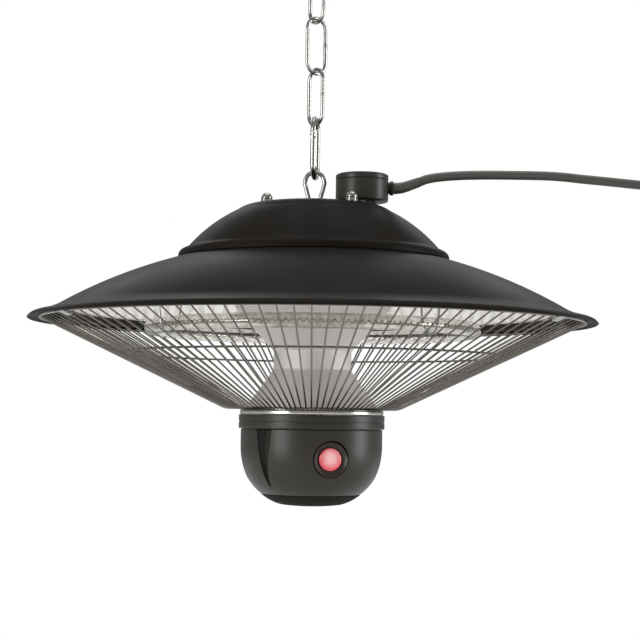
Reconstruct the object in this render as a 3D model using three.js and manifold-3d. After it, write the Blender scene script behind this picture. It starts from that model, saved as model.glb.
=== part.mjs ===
import * as THREE from 'three';
import { mergeVertices } from 'three/addons/utils/BufferGeometryUtils.js';
import Module from 'manifold-3d';

// Hanging halogen patio heater on its chain, in millimetres, +Z up.
// The origin is the middle of the ceiling plate's top face. Each piece is laid out above or below
// the rim, the lowest edge of the shade, and the whole is lowered by the height of the ceiling.

// Fits that the whole heater shares
const gap = 0.3; // between pieces that touch
const overrun = 1; // how far a cut runs past a face
const weld = 0.0005; // vertices closer than this are one

// Shade: pressed steel, seat for the dome in the middle, lip round the edge
const shadeSheet = 1.2;
const shadeHoleR = 24;
const shadeSeatR = 96;
const shadeSeatZ = 49.4;
const shadeSlopeZ = 10.2;
const shadeCrown = 3.2;
const lipZ = 5.1;
const lipDip = 0.5;
const lipWide = 6.5; // from the end of the lip's flare to the rim
const flareWide = 15; // from the end of the slope to the end of the flare
const rimR = 212.5;
const rimZ = 1.1;
const rimRound = 0.9;

// Top dome: pressed steel, flat top, rolled foot on the shade
const domeSheet = 1.2;
const domeTopZ = 89.3;
const domeTopR = 48;
const domeShoulderR = 59;
const domeShoulderDrop = 4.4;
const domeShoulderRound = 0.8;
const domeSideR = 95.4;
const domeSideDrop = 33.3;
const domeSideCrown = 2.4;
const domeFootR = 102.2;
const domeFootInnerR = 97.2;
const domeFootDrop = 34.2;
const domeFootRound = 1.4;

// Hanger plate, stand-off studs and nuts
const hangerR = 42;
const hangerThick = 2.5;
const studCircleR = 37.5;
const studAngles = [197.7, 317.7, 77.7]; // degrees round the axis, from +X
const threadR = 2.5;
const standoffR = 4.5;
const acornR = 4.3;
const acornHexR = 4.6;
const acornHexHeight = 4;
const studHeadR = 4.6;
const studHeadHeight = 3.6;

// Lifting eye: bent wire, onion-shaped
const eyeWireR = 1.6;
const eyeTopZ = 117.2;
const eyeHalfWidth = 7.3;
const eyeWaistHalf = 4.2;
const eyeRivetR = 2.8;
const eyeRivetThick = 1.8;

// Snap hook: spring carabiner seen nearly edge-on
const hookWireR = 2.1;
const hookLength = 49;
const hookWidth = 24;
const hookTurn = 81; // degrees from +X to the hook's plane
const gateLow = 14.5; // gate's free end, above the hook's lowest point
const gateHigh = 31.5; // end of the gap that the gate closes
const gatePinR = 0.9;
const gateTongue = 4.4; // from the gate's bar to the end of its slot
const gateShoulder = 1.1; // lets the bar's end swing past the body
const gateTongueRim = 0.6; // metal beyond the pin's bore
const gateSlotHalf = 0.9;

// Chain: long welded links
const linkWireR = 1.45;
const linkLength = 45.5;
const linkWidth = 20;
const linkCount = 3;
const crossing = 1; // between the hook and the lowest link, whose curved wires cross aslant
const linkTurns = [-53, 37]; // degrees from +X to the plane of a link, in turn from the hook

// Ceiling hook and plate
const ceilingWireR = 1.8;
const ceilingLoopR = 8;
const ceilingNeck = 3;
const bossR = 7;
const bossHeight = 6;
const plateR = 25;
const plateThick = 4;
const plateHoleR = 2.3;
const plateHoleX = 16;
const shankDepth = 7;

// Reflector: spun aluminium under the shade
const reflectorSheet = 0.8;
const reflectorSeatR = 88;
const reflectorInset = 6; // from the reflector's edge to the end of the shade's slope
const reflectorEdgeZ = 10.4;
const reflectorCrown = 3.4;
const reflectorHem = 2.2;

// Column: spun aluminium, waisted, from the reflector to the collar
const columnSheet = 1.2;
const columnR = 29.2;
const columnWaistLowZ = -34.6;
const columnWaistHighZ = -20.5;
const columnFlareR = 58;
const columnFlareZ = 11.4;
const columnTopR = 64;
const columnShoulderZ = 30;
const columnShoulderRound = 1.6;
const columnFootLap = 7.6; // beyond the screws that hold it
const columnFlangeLap = 13; // within the screws

// Ring lamp, its clips and end holders
const lampR = 121;
const lampZ = -4;
const lampTubeR = 5.5;
const lampGlass = 1.1;
const lampGapHalf = 18.9286; // from the middle of the gap to each end of the ring
const filamentR = 1.4;
const lampSteps = 24; // straight runs that the ring is made of
const lampClipSteps = [15, 8];
const lampClipWireR = 0.8;
const lampClipSpread = 12;
const holderWide = 15;
const holderTall = 17;
const holderSocket = 6;
const holderReach = 16; // from the lamp's end to the back of the holder
const bracketThick = 1.5;
const bracketWide = 12;

// Wire guard: welded wires and three rings
const guardWires = 112;
const wireWide = 1.4;
const wireThick = 1.6;
const guardInset = 3; // from the rim ring to the end of the lip's flare
const guardRimZ = 2;
const guardRingWide = 2.8;
const guardMidShare = 0.587; // of the way from the corner to the rim ring
const guardMidWide = 1.5;
const guardCornerOut = 13; // from the inner ring to the corner of the wires
const guardCornerZ = -63.6;
const guardInnerFit = 1.4; // from the column's foot
const guardInnerWide = 2.4;
const clipAngles = [90, 213.75, 326.25];
const clipWide = 9;
const clipThick = 1.2;
const clipLipInset = 3.9; // from the clip's end to the rim
const clipTuck = 3.4; // from the rim ring to the clip's other end

// Trim ring, collar, control bowl and cap
const trimInset = 0.8; // from the collar's side
const trimLap = 7; // within the screws
const trimHeight = 3.1;
const collarProud = 1.6; // beyond the bowl
const collarHeight = 10.3;
const collarWall = 2.6;
const collarHoleR = 14;
const collarGroove = 0.6;
const bowlR = 53.1;
const bowlWall = 3;
const bowlStraight = 12.5;
const bowlLipInset = 15.9;
const bowlHeight = 48.2;
const bowlKnuckleInset = 4.7;
const bowlKnuckleDrop = 35;
const bowlKnuckleRound = 1.2;
const bowlLowRound = 1;
const spigotHeight = 6;
const spigotWall = 2.2;
const capDepth = 8.6;
const capShoulderInset = 14.5; // from the bowl's lip
const capShoulderRise = 1.1;
const capShoulderRound = 0.95;
const capRound = 0.5;
const capWall = 2.5;
const capSpigot = 5;
const fluteAngles = [226, 46];
const fluteTopR = 7.5;
const fluteFootR = 3;
const fluteDepth = 2;
const fluteLength = 42;
const screwInset = 10.1; // from the bowl's side to the screws
const screwAngles = [30, 150, 270];
const boardPostAngles = [60, 180, 300];
const screwR = 1.8;
const screwHeadR = 3.4;
const screwHeadThick = 2;

// Push button and what is behind it
const buttonAngle = 286.5;
const buttonZ = -100;
const recessR = 13.5;
const recessDepth = 5.5; // from the bowl's side to the floor of the recess
const recessWall = 3.6;
const bezelR = 12.6;
const bezelThick = 1.5;
const buttonR = 8.3;
const buttonProud = 0.9;
const buttonCrown = 0.5;
const buttonFlangeR = 10;
const buttonFlangeThick = 1.7;
const buttonStemR = 3;
const buttonStem = 4.2;
const buttonTravel = 1.5;
const switchSide = 12;
const switchDepth = 8;
const boardInset = 15.1; // from the bowl's side
const boardThick = 1.6;
const boardDrop = 16;
const boardPostR = 3;
const boardPostInset = 5; // from the board's edge
const relaySize = [28, 12, 15];
const relayPlace = [-12, 12];

// Junction box on top, with its strap, terminals and leads
const boxR = 20;
const boxX = 36;
const boxY = 4;
const boxZ = 94;
const boxHeight = 16.1;
const boxWall = 2;
const lidHeight = 4.4;
const lidThick = 2;
const strapThick = 1.5;
const strapWide = 14;
const strapEnd = 6;
const strapStep = 20;
const strapRise = 4;
const strapUnderBox = 45;
const terminalSize = [18, 11, 8];
const terminalY = 5;
const glandZ = 104.6;
const glandNeckR = 4.4;
const glandRingR = 5.4;
const glandRingThick = 3;
const glandNeckOut = 1;
const glandFlangeThick = 2;
const leadR = 1.8;
const leadXs = [40.6, 44.6];
const leadY = -3;
const lampLeadR = 1.4;
const lampLeadX = 9;
const lampLeadZ = 27;

// Mains cable, its coil, tie and plug
const cableR = 3.5;
const sleeveR = 4.4;
const sleeveLength = 20;
const coilX = 293;
const coilMeanR = 36.5;
const coilLayers = 4;
const coilPitch = 7.6; // from turn to turn and from layer to layer
const coilTurns = 6.235;
const coilStepsPerTurn = 24;
const coilEntry = 5.5; // degrees past the top where the cable joins the coil
const tailLength = 45;
const tieThick = 1.2;
const tieWide = 10;
const tieSlack = 0.6;
const plugNeckR = 6;
const plugGripR = 11;
const plugFaceR = 18;
const plugFaceThick = 9;
const plugLength = 38;
const pinR = 2.4;
const pinLength = 19;
const pinHalf = 9.5;

// Faces round the turned pieces
const roundRing = 40;
const roundShade = 32;
const roundDome = 24;
const roundBowl = 24;
const roundBox = 20;
const roundSmall = 12;
const roundPin = 6;

const degree = Math.PI / 180;

// Radii that follow from the bowl
const collarR = bowlR + collarProud;
const trimR = collarR - trimInset;
const bowlLipR = bowlR - bowlLipInset;
const bowlKnuckleR = bowlR - bowlKnuckleInset;
const capShoulderR = bowlLipR - capShoulderInset;
const recessFloor = bowlR - recessDepth;
const boardR = bowlR - boardInset;
const boardPostCircleR = boardR - boardPostInset;
const screwCircleR = bowlR - screwInset;
const trimInnerR = screwCircleR - trimLap;
const columnFlangeR = screwCircleR - columnFlangeLap;
const columnFootR = screwCircleR + columnFootLap;
const guardInnerR = columnFootR + guardInnerFit;
const guardCornerR = guardInnerR + guardCornerOut;

// Radii that follow from the rim
const lipR = rimR - lipWide;
const shadeSlopeR = lipR - flareWide;
const reflectorEdgeR = shadeSlopeR - reflectorInset;
const guardRimR = lipR - guardInset;
const guardMidR = guardCornerR + guardMidShare * (guardRimR - guardCornerR);
const clipLipR = rimR - clipLipInset;
const clipReach = guardRimR - clipTuck;

// Heights that follow from the sizes above
const domeFootZ = domeTopZ - domeFootDrop;
const hangerTopZ = domeTopZ - domeSheet - gap;
const standoffTopZ = hangerTopZ - hangerThick - gap;
const standoffLowZ = shadeSeatZ + gap;
const reflectorSeatZ = shadeSeatZ - shadeSheet - gap;
const columnTopZ = reflectorSeatZ - reflectorSheet - gap;
const trimTopZ = guardCornerZ - wireThick / 2 - gap;
const columnFootZ = trimTopZ + gap;
const collarTopZ = trimTopZ - trimHeight - gap;
const bowlTopZ = collarTopZ - collarHeight - gap;
const bowlLowZ = bowlTopZ - bowlHeight;
const capTopZ = bowlLowZ - gap;
const capLowZ = capTopZ - capDepth;
const boardZ = collarTopZ - boardDrop;
const eyeApexZ = eyeTopZ - eyeWireR;
const hookLowZ = eyeApexZ - eyeWireR - hookWireR - gap; // middle of the hook's lowest wire
const hookHighZ = hookLowZ + hookLength - 2 * hookWireR;
const linkPitch = linkLength - 4 * linkWireR - gap;
const linkSpan = linkLength - 2 * linkWireR; // between the middles of a link's end wires
const firstLinkLowZ = hookHighZ - hookWireR - linkWireR - crossing;
const chainTopZ = firstLinkLowZ + (linkCount - 1) * linkPitch + linkSpan;
const ceilingLoopLowZ = chainTopZ - linkWireR - ceilingWireR - gap;
const ceilingLoopZ = ceilingLoopLowZ + ceilingLoopR;
const bossLowZ = ceilingLoopZ + ceilingLoopR + ceilingNeck;
const ceilingZ = bossLowZ + bossHeight + plateThick;

const wasm = await Module();
wasm.setup();

// A geometry's triangles with shared vertices merged, none collapsed, and turned to face outwards.
function closed(geometry) {
  const bare = new THREE.BufferGeometry();
  bare.setAttribute('position', geometry.attributes.position.clone());
  if (geometry.index) bare.setIndex(geometry.index.clone());
  const merged = mergeVertices(bare, weld);
  const at = merged.index.array;
  const kept = [];
  for (let i = 0; i < at.length; i += 3) {
    const [a, b, c] = [at[i], at[i + 1], at[i + 2]];
    if (a !== b && b !== c && c !== a) kept.push(a, b, c);
  }
  merged.setIndex(kept);
  if (volume(merged) < 0) merged.setIndex(kept.map((_, i) => kept[i - (i % 3) + 2 - (i % 3)]));
  return merged;
}

function volume(geometry) {
  const p = geometry.attributes.position;
  const at = geometry.index.array;
  const [a, b, c] = [new THREE.Vector3(), new THREE.Vector3(), new THREE.Vector3()];
  let sum = 0;
  for (let i = 0; i < at.length; i += 3) {
    a.fromBufferAttribute(p, at[i]);
    b.fromBufferAttribute(p, at[i + 1]);
    c.fromBufferAttribute(p, at[i + 2]);
    sum += a.dot(b.cross(c));
  }
  return sum;
}

function solid(geometry) {
  const g = closed(geometry);
  return new wasm.Manifold(new wasm.Mesh({
    numProp: 3,
    vertProperties: Float32Array.from(g.attributes.position.array),
    triVerts: Uint32Array.from(g.index.array),
  }));
}

function geometryOf(manifold) {
  const mesh = manifold.getMesh();
  const g = new THREE.BufferGeometry();
  g.setAttribute('position', new THREE.BufferAttribute(mesh.vertProperties, 3));
  g.setIndex(new THREE.BufferAttribute(mesh.triVerts, 1));
  return g;
}

const cut = (body, ...tools) => geometryOf(tools.reduce((m, t) => m.subtract(solid(t)), solid(body)));
const join = (body, ...more) => geometryOf(more.reduce((m, t) => m.add(solid(t)), solid(body)));
const common = (body, other) => geometryOf(solid(body).intersect(solid(other)));

// Turned solid: a profile of [radius, height] that closes on itself or starts and ends on the axis.
function revolve(profile, sides) {
  const points = profile.map(([r, z]) => new THREE.Vector2(r, z));
  if (profile[0][0] > 0) points.push(points[0].clone());
  return new THREE.LatheGeometry(points, sides).rotateX(Math.PI / 2);
}

// Points of a circular arc between two profile points, bulging by rise to the left of the way.
function bow(from, to, rise, steps) {
  const a = new THREE.Vector2(...from);
  const b = new THREE.Vector2(...to);
  const half = a.distanceTo(b) / 2;
  const radius = (half * half + rise * rise) / (2 * Math.abs(rise));
  const side = new THREE.Vector2(a.y - b.y, b.x - a.x).normalize().multiplyScalar(Math.sign(rise));
  const centre = a.clone().add(b).multiplyScalar(1 / 2).addScaledVector(side, Math.abs(rise) - radius);
  const sweep = -2 * Math.asin(half / radius) * Math.sign(rise);
  const points = [];
  for (let i = 0; i <= steps; i++) {
    const p = a.clone().rotateAround(centre, (sweep * i) / steps);
    points.push([p.x, p.y]);
  }
  return points;
}

// A profile moved sideways by a distance, to the right of the way it runs.
function beside(profile, distance) {
  return profile.map(([r, z], i) => {
    const [pr, pz] = profile[Math.max(i - 1, 0)];
    const [nr, nz] = profile[Math.min(i + 1, profile.length - 1)];
    const before = new THREE.Vector2(z - pz, pr - r).normalize();
    const after = new THREE.Vector2(nz - z, r - nr).normalize();
    const normal = before.clone().add(after).normalize();
    const along = Math.max(normal.dot(before), normal.dot(after));
    return [r + (normal.x * distance) / along, z + (normal.y * distance) / along];
  });
}

// Sheet pressing: an outer profile from the middle outwards, with the metal on its lower side.
const pressed = (profile, sheet, sides) =>
  revolve([...profile, ...beside(profile, sheet).reverse()], sides);

function rod(radius, low, high, sides, x = 0, y = 0) {
  return new THREE.CylinderGeometry(radius, radius, high - low, sides)
    .rotateX(Math.PI / 2).translate(x, y, (high + low) / 2);
}

function block(width, depth, height, x, y, lowZ) {
  return new THREE.BoxGeometry(width, depth, height).translate(x, y, lowZ + height / 2);
}

const polar = (r, angle) => [r * Math.cos(angle * degree), r * Math.sin(angle * degree)];

function disc(radius, sides) {
  const shape = new THREE.Shape();
  for (let i = 0; i < sides; i++) {
    const [x, y] = polar(radius, ((i + 1 / 2) * 360) / sides);
    if (i === 0) shape.moveTo(x, y);
    else shape.lineTo(x, y);
  }
  shape.closePath();
  return shape;
}

// Wire or tube of a round section along a smooth curve through points.
function tube(points, radius, sides, steps) {
  const extrudePath = new THREE.CatmullRomCurve3(points.map((p) => new THREE.Vector3(...p)));
  return new THREE.ExtrudeGeometry(disc(radius, sides), { steps, bevelEnabled: false, extrudePath });
}

// Skin over rings of points, one after the other: round again to the first, or capped at both ends.
function skin(rings, loops) {
  const n = rings[0].length;
  const faces = [];
  for (let i = 0; i < rings.length - (loops ? 0 : 1); i++) {
    const low = i * n;
    const high = ((i + 1) % rings.length) * n;
    for (let j = 0; j < n; j++) {
      const k = (j + 1) % n;
      faces.push(low + j, low + k, high + k, low + j, high + k, high + j);
    }
  }
  const last = (rings.length - 1) * n;
  for (let j = 1; !loops && j < n - 1; j++) faces.push(0, j + 1, j, last, last + j, last + j + 1);
  const g = new THREE.BufferGeometry();
  g.setAttribute('position', new THREE.Float32BufferAttribute(rings.flat(2), 3));
  g.setIndex(faces);
  return g;
}

// Ring of a round section about a point, square to a direction, with one side towards up.
function ringAt(point, along, up, radius, sides) {
  const side = along.clone().cross(up).normalize();
  const top = side.clone().cross(along).normalize();
  return Array.from({ length: sides }, (_, j) => {
    const [x, y] = polar(radius, (j * 360) / sides);
    return point.clone().addScaledVector(side, x).addScaledVector(top, y).toArray();
  });
}

// Tube over a worked-out route whose sideways direction never changes much.
function routeTube(route, radius, up, sides, loops = false) {
  const n = route.length;
  return skin(route.map((p, i) => {
    const before = route[loops ? (i + n - 1) % n : Math.max(i - 1, 0)];
    const after = route[loops ? (i + 1) % n : Math.min(i + 1, n - 1)];
    return ringAt(p, after.clone().sub(before).normalize(), up, radius, sides);
  }), loops);
}

const upright = new THREE.Vector3(0, 0, 1);
const sideways = new THREE.Vector3(0, 1, 0);

function material(color, roughness, metalness, extra = {}) {
  return new THREE.MeshStandardMaterial({ color, roughness, metalness, ...extra });
}

const blackEnamel = material('#3a3733', 0.45, 0.3);
const blackPlastic = material('#46433f', 0.5, 0);
const brightSteel = material('#b9bbbd', 0.25, 1);
const zincSteel = material('#9c9e9f', 0.4, 1);
const aluminium = material('#d9d9d6', 0.3, 1);
const darkWire = material('#4a4845', 0.4, 0.6);
const quartz = material('#f3f1ea', 0.05, 0, { transparent: true, opacity: 0.4 });
const tungsten = material('#8d8a83', 0.5, 1);
const ceramic = material('#e9e5da', 0.7, 0);
const redLens = material('#e2606a', 0.25, 0, { transparent: true, opacity: 0.9 });
const boardGreen = material('#2f5d46', 0.6, 0);
const rubber = material('#262524', 0.7, 0);
const sleeveWhite = material('#dcd8cc', 0.9, 0);
const brass = material('#c9a75a', 0.3, 1);

const hanging = new THREE.Group();
hanging.position.z = -ceilingZ;

function piece(name, geometry, finish, parent = hanging) {
  const mesh = new THREE.Mesh(closed(geometry), finish);
  mesh.name = name;
  parent.add(mesh);
  return mesh;
}

const studHoles = (low, high) =>
  studAngles.map((a) => rod(threadR + gap, low - overrun, high + overrun, roundPin, ...polar(studCircleR, a)));

// Outer face of the shade, from its middle hole to the rim.
function shadeFace() {
  return [
    [shadeHoleR, shadeSeatZ],
    [shadeSeatR, shadeSeatZ],
    ...bow([domeFootR, shadeSeatZ - shadeSheet - gap], [shadeSlopeR, shadeSlopeZ], shadeCrown, 4),
    ...bow([shadeSlopeR, shadeSlopeZ], [lipR, lipZ], -lipDip, 1).slice(1),
    ...bow([lipR, lipZ], [rimR, rimZ], rimRound, 1).slice(1),
  ];
}

function shade() {
  const body = pressed(shadeFace(), shadeSheet, roundShade);
  return cut(body, ...studHoles(shadeSeatZ - shadeSheet, shadeSeatZ));
}

// Height of a profile at a radius.
function heightAt(profile, radius) {
  const i = profile.findIndex(([r], k) => k > 0 && r >= radius);
  const [r0, z0] = profile[i - 1];
  const [r1, z1] = profile[i];
  return z0 + ((z1 - z0) * (radius - r0)) / (r1 - r0);
}

function dome() {
  const shoulderZ = domeTopZ - domeShoulderDrop;
  const sideZ = domeTopZ - domeSideDrop;
  const footEdgeZ = heightAt(shadeFace(), domeFootR) + gap + domeSheet / 2;
  const face = [
    [0, domeTopZ],
    ...bow([domeTopR, domeTopZ], [domeShoulderR, shoulderZ], domeShoulderRound, 1),
    ...bow([domeShoulderR, shoulderZ], [domeSideR, sideZ], domeSideCrown, 3).slice(1),
    ...bow([domeFootInnerR, domeFootZ], [domeFootR, footEdgeZ + domeSheet], domeFootRound, 2),
    [domeFootR, footEdgeZ],
  ];
  const under = beside(face, domeSheet).reverse();
  under[0] = [domeFootR - domeSheet, footEdgeZ];
  const body = revolve([...face, ...under], roundDome);
  const low = domeTopZ - domeSideDrop / 2;
  const high = domeTopZ + overrun;
  return cut(
    body,
    ...studHoles(domeTopZ - domeSheet, domeTopZ),
    ...[-1, 1].map((side) => rod(eyeWireR + 2 * gap, low, high, roundPin, side * eyeWaistHalf)),
    ...leadXs.map((x) => rod(leadR + 3 * gap, low, high, roundPin, x, leadY)),
  );
}

function hangerPlate() {
  const low = hangerTopZ - hangerThick;
  return cut(
    rod(hangerR, low, hangerTopZ, roundDome),
    ...studHoles(low, hangerTopZ),
    ...[-1, 1].map((side) =>
      rod(eyeWireR + 2 * gap, low - overrun, hangerTopZ + overrun, roundPin, side * eyeWaistHalf)),
    ...leadXs.map((x) => rod(leadR + 3 * gap, low - overrun, hangerTopZ + overrun, roundPin, x, leadY)),
  );
}

// Bent wire: legs through the dome and the hanger plate, riveted over below it.
function liftingEye() {
  const footZ = hangerTopZ - hangerThick - gap - eyeRivetThick;
  const shoulderZ = eyeApexZ - eyeHalfWidth;
  const waistZ = (domeTopZ + shoulderZ) / 2;
  const half = [
    [-eyeWaistHalf, 0, footZ],
    [-eyeWaistHalf, 0, (footZ + domeTopZ) / 2],
    [-eyeWaistHalf, 0, (domeTopZ + waistZ) / 2],
    [-(eyeHalfWidth + eyeWaistHalf) / 2 - eyeWireR / 2, 0, (waistZ + shoulderZ) / 2],
    [-eyeHalfWidth, 0, shoulderZ],
    [-eyeHalfWidth * Math.SQRT1_2, 0, shoulderZ + eyeHalfWidth * Math.SQRT1_2],
  ];
  const back = half.map(([x, y, z]) => [-x, y, z]).reverse();
  const wire = tube([...half, [0, 0, eyeApexZ], ...back], eyeWireR, 6, 20);
  return join(wire, ...[-1, 1].map((side) =>
    rod(eyeRivetR, footZ, footZ + eyeRivetThick, roundPin, side * eyeWaistHalf)));
}

const strapSeat = strapThick + gap;

function standoff(index) {
  const [x, y] = polar(studCircleR, studAngles[index]);
  const top = acornBaseZ(index) + acornHexHeight - gap;
  const headTop = columnTopZ - columnSheet - gap;
  const stud = revolve([
    [0, headTop - studHeadHeight], [threadR, headTop - studHeadHeight], [threadR, standoffLowZ],
    [standoffR, standoffLowZ], [standoffR, standoffTopZ], [threadR, standoffTopZ], [threadR, top], [0, top],
  ], roundPin);
  return join(stud, rod(studHeadR, headTop - studHeadHeight, headTop, 6)).translate(x, y, 0);
}

// The third nut also clamps the junction box's strap.
const acornBaseZ = (index) => domeTopZ + gap + (index === 2 ? strapSeat : 0);

function acornNut(index) {
  const base = acornBaseZ(index);
  const [x, y] = polar(studCircleR, studAngles[index]);
  const top = base + acornHexHeight;
  const hex = rod(acornHexR, base, top, 6);
  const cap = new THREE.SphereGeometry(acornR, 8, 6).rotateX(Math.PI / 2).translate(0, 0, top);
  const bore = rod(threadR + gap, base - overrun, top, roundPin);
  return cut(join(hex, cap), bore).translate(x, y, 0);
}

// Loop with two straight sides and round ends, standing in the XZ plane.
function stadium(width, lowZ, highZ, steps) {
  const radius = width / 2;
  const ends = [[highZ - radius, 0], [lowZ + radius, 180]];
  return ends.flatMap(([z, start]) => Array.from({ length: steps + 1 }, (_, i) => {
    const [x, rise] = polar(radius, start + (180 * i) / steps);
    return new THREE.Vector3(x, 0, z + rise);
  }));
}

function chainLink(index) {
  const low = firstLinkLowZ + index * linkPitch;
  const route = stadium(linkWidth - 2 * linkWireR, low, low + linkSpan, 6);
  return routeTube(route, linkWireR, sideways, 6, true);
}

const hookPlane = new THREE.Group();
hookPlane.rotation.z = hookTurn * degree;
hanging.add(hookPlane);

// The gate side of the snap hook is at -X of its own plane, towards the viewer.
const hookSideX = hookWidth / 2 - hookWireR;
const hookFootZ = hookLowZ - hookWireR;

function snapHookBody() {
  const loop = stadium(2 * hookSideX, hookLowZ, hookHighZ, 6);
  const ring = routeTube(loop, hookWireR, sideways, 8, true);
  const low = hookFootZ + gateLow - gap;
  const high = hookFootZ + gateHigh + gap;
  const slotHigh = high + gateTongue;
  const width = 2 * hookWireR + overrun;
  const mouth = block(width, width, high - low, -hookSideX, 0, low);
  const slot = block(width, 2 * (gateSlotHalf + gap), slotHigh - low, -hookSideX, 0, low);
  return cut(ring, mouth, slot, gatePinTool(gap / 4));
}

const gatePinZ = hookFootZ + gateHigh + gateTongue / 2;

function gatePinTool(slack, half = hookWireR + overrun) {
  return rod(gatePinR + slack, -half, half, roundPin).rotateX(Math.PI / 2)
    .translate(-hookSideX, 0, gatePinZ);
}

// Round bar with a flat tongue that the pin goes through.
function snapHookGate() {
  const low = hookFootZ + gateLow;
  const high = hookFootZ + gateHigh - gap;
  const bar = rod(hookWireR, low, high - gateShoulder, roundPin + 2, -hookSideX);
  const tongueHigh = gatePinZ + gatePinR + gap + gateTongueRim;
  const tongue = common(
    block(3 * hookWireR, 2 * gateSlotHalf, tongueHigh - high + 2 * overrun, -hookSideX, 0, high - 2 * overrun),
    rod(hookWireR - gap / 4, high - 2 * overrun, tongueHigh, roundPin, -hookSideX),
  );
  return cut(join(bar, tongue), gatePinTool(gap));
}

const gatePin = () => gatePinTool(0, hookWireR);

// Open hook: a shank into the plate's boss, then three quarters of a loop.
function ceilingHook() {
  const shank = bossLowZ + shankDepth - gap;
  const route = [[shank, 0], [bossLowZ - ceilingNeck / 3, 0]].map(([z, x]) => new THREE.Vector3(x, 0, z));
  const start = 70;
  const end = -210;
  for (let i = 0; i <= 12; i++) {
    const [x, rise] = polar(ceilingLoopR, start + ((end - start) * i) / 12);
    route.push(new THREE.Vector3(x, 0, ceilingLoopZ + rise));
  }
  return routeTube(route, ceilingWireR, sideways, 8);
}

function ceilingPlate() {
  const diskLow = ceilingZ - plateThick;
  const edge = plateThick / 4;
  const body = revolve([
    [0, ceilingZ], [plateR, ceilingZ], [plateR, diskLow + edge], [plateR - edge, diskLow],
    [bossR, diskLow], [bossR, bossLowZ], [0, bossLowZ],
  ], roundDome);
  return cut(
    body,
    rod(ceilingWireR + gap, bossLowZ - overrun, bossLowZ + shankDepth, roundPin),
    ...[-1, 1].map((s) => rod(plateHoleR, diskLow - overrun, ceilingZ + overrun, roundPin, s * plateHoleX)),
  );
}

// Upper face of the reflector, from its middle hole to the hem.
function reflectorFace() {
  return [
    [shadeHoleR, reflectorSeatZ],
    ...bow([reflectorSeatR, reflectorSeatZ], [reflectorEdgeR, reflectorEdgeZ], reflectorCrown, 4),
    [reflectorEdgeR + reflectorSheet, reflectorEdgeZ - reflectorHem],
  ];
}

function reflector() {
  const body = pressed(reflectorFace(), reflectorSheet, roundShade);
  return cut(body, ...studHoles(reflectorSeatZ - reflectorSheet, reflectorSeatZ));
}

const reflectorUnderZ = (radius) => heightAt(beside(reflectorFace(), reflectorSheet), radius);

// Everything above the reflector's lower face, to trim what stands under it.
function aboveReflector() {
  const under = beside(reflectorFace(), reflectorSheet + gap);
  const top = reflectorSeatZ + overrun;
  return revolve([...under, [under.at(-1)[0], top], [under[0][0], top]], roundShade);
}

function column() {
  const foot = columnFootZ;
  const slope = (columnFlareR - columnR) / (columnFlareZ - columnWaistHighZ);
  const outer = [
    [columnFlangeR, foot],
    [columnFootR, foot],
    [columnR, columnWaistLowZ],
    [columnR, columnWaistHighZ],
    [columnFlareR, columnFlareZ],
    ...bow([columnFlareR, columnFlareZ], [columnTopR, columnShoulderZ], -columnShoulderRound, 2).slice(1),
    [columnTopR, columnTopZ],
    [columnFlangeR, columnTopZ],
  ];
  const wall = columnSheet * Math.hypot(1, slope);
  const inner = [
    [columnFlangeR, columnTopZ - columnSheet],
    [columnTopR - columnSheet, columnTopZ - columnSheet],
    [columnTopR - columnSheet, columnShoulderZ],
    [columnFlareR - wall, columnFlareZ],
    [columnR - columnSheet, columnWaistHighZ],
    [columnR - columnSheet, columnWaistLowZ],
    [columnFootR - 2 * columnSheet, foot + columnSheet],
    [columnFlangeR, foot + columnSheet],
  ];
  const wires = lampLeadRoutes().map(([x]) =>
    rod(lampLeadR + 3 * gap, 0, columnTopR, roundPin).rotateX(-Math.PI / 2).translate(x, 0, lampLeadZ));
  return cut(
    revolve([...outer, ...inner], roundBowl),
    ...studHoles(columnTopZ - columnSheet, columnTopZ),
    ...screwHoles(foot, foot + columnSheet),
    ...wires,
  );
}

const screwHoles = (low, high) =>
  screwAngles.map((a) => rod(screwR + gap, low - overrun, high + overrun, roundPin, ...polar(screwCircleR, a)));

const lampGapAngle = Math.asin(lampGapHalf / lampR) / degree; // from +Y to each end of the ring
const lampStep = (360 - 2 * lampGapAngle) / lampSteps;
const lampAngle = (step) => 90 + lampGapAngle + lampStep * step;

// Quartz tube bent to an open ring, hollow along its length.
const lampRoute = () => Array.from({ length: lampSteps + 1 }, (_, i) =>
  new THREE.Vector3(...polar(lampR, lampAngle(i)), lampZ));

function halogenTube() {
  const bore = lampRoute();
  const [a, b] = [bore[0].clone().sub(bore[1]), bore.at(-1).clone().sub(bore.at(-2))];
  const longer = [bore[0].clone().add(a.setLength(overrun)), ...bore,
    bore.at(-1).clone().add(b.setLength(overrun))];
  return cut(
    routeTube(lampRoute(), lampTubeR, upright, 6),
    routeTube(longer, lampTubeR - lampGlass, upright, 5),
  );
}

const halogenFilament = () => routeTube(lampRoute(), filamentR, upright, 4);

// Wire spring: from the reflector down one side of the tube, under it and up the other side.
function lampClip(step) {
  const reach = (lampTubeR + gap + lampClipWireR) / Math.cos(Math.PI / 8);
  const top = (out) => reflectorUnderZ(lampR + out) - gap - lampClipWireR;
  const points = [
    [-lampClipSpread, top(-lampClipSpread)],
    [-reach, lampZ],
    [-reach * Math.SQRT1_2, lampZ - reach * Math.SQRT1_2],
    [0, lampZ - reach],
    [reach * Math.SQRT1_2, lampZ - reach * Math.SQRT1_2],
    [reach, lampZ],
    [lampClipSpread, top(lampClipSpread)],
  ];
  const route = points.map(([out, z]) => new THREE.Vector3(lampR + out, 0, z));
  return routeTube(route, lampClipWireR, sideways, 6).rotateZ(lampAngle(step) * degree);
}

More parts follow.
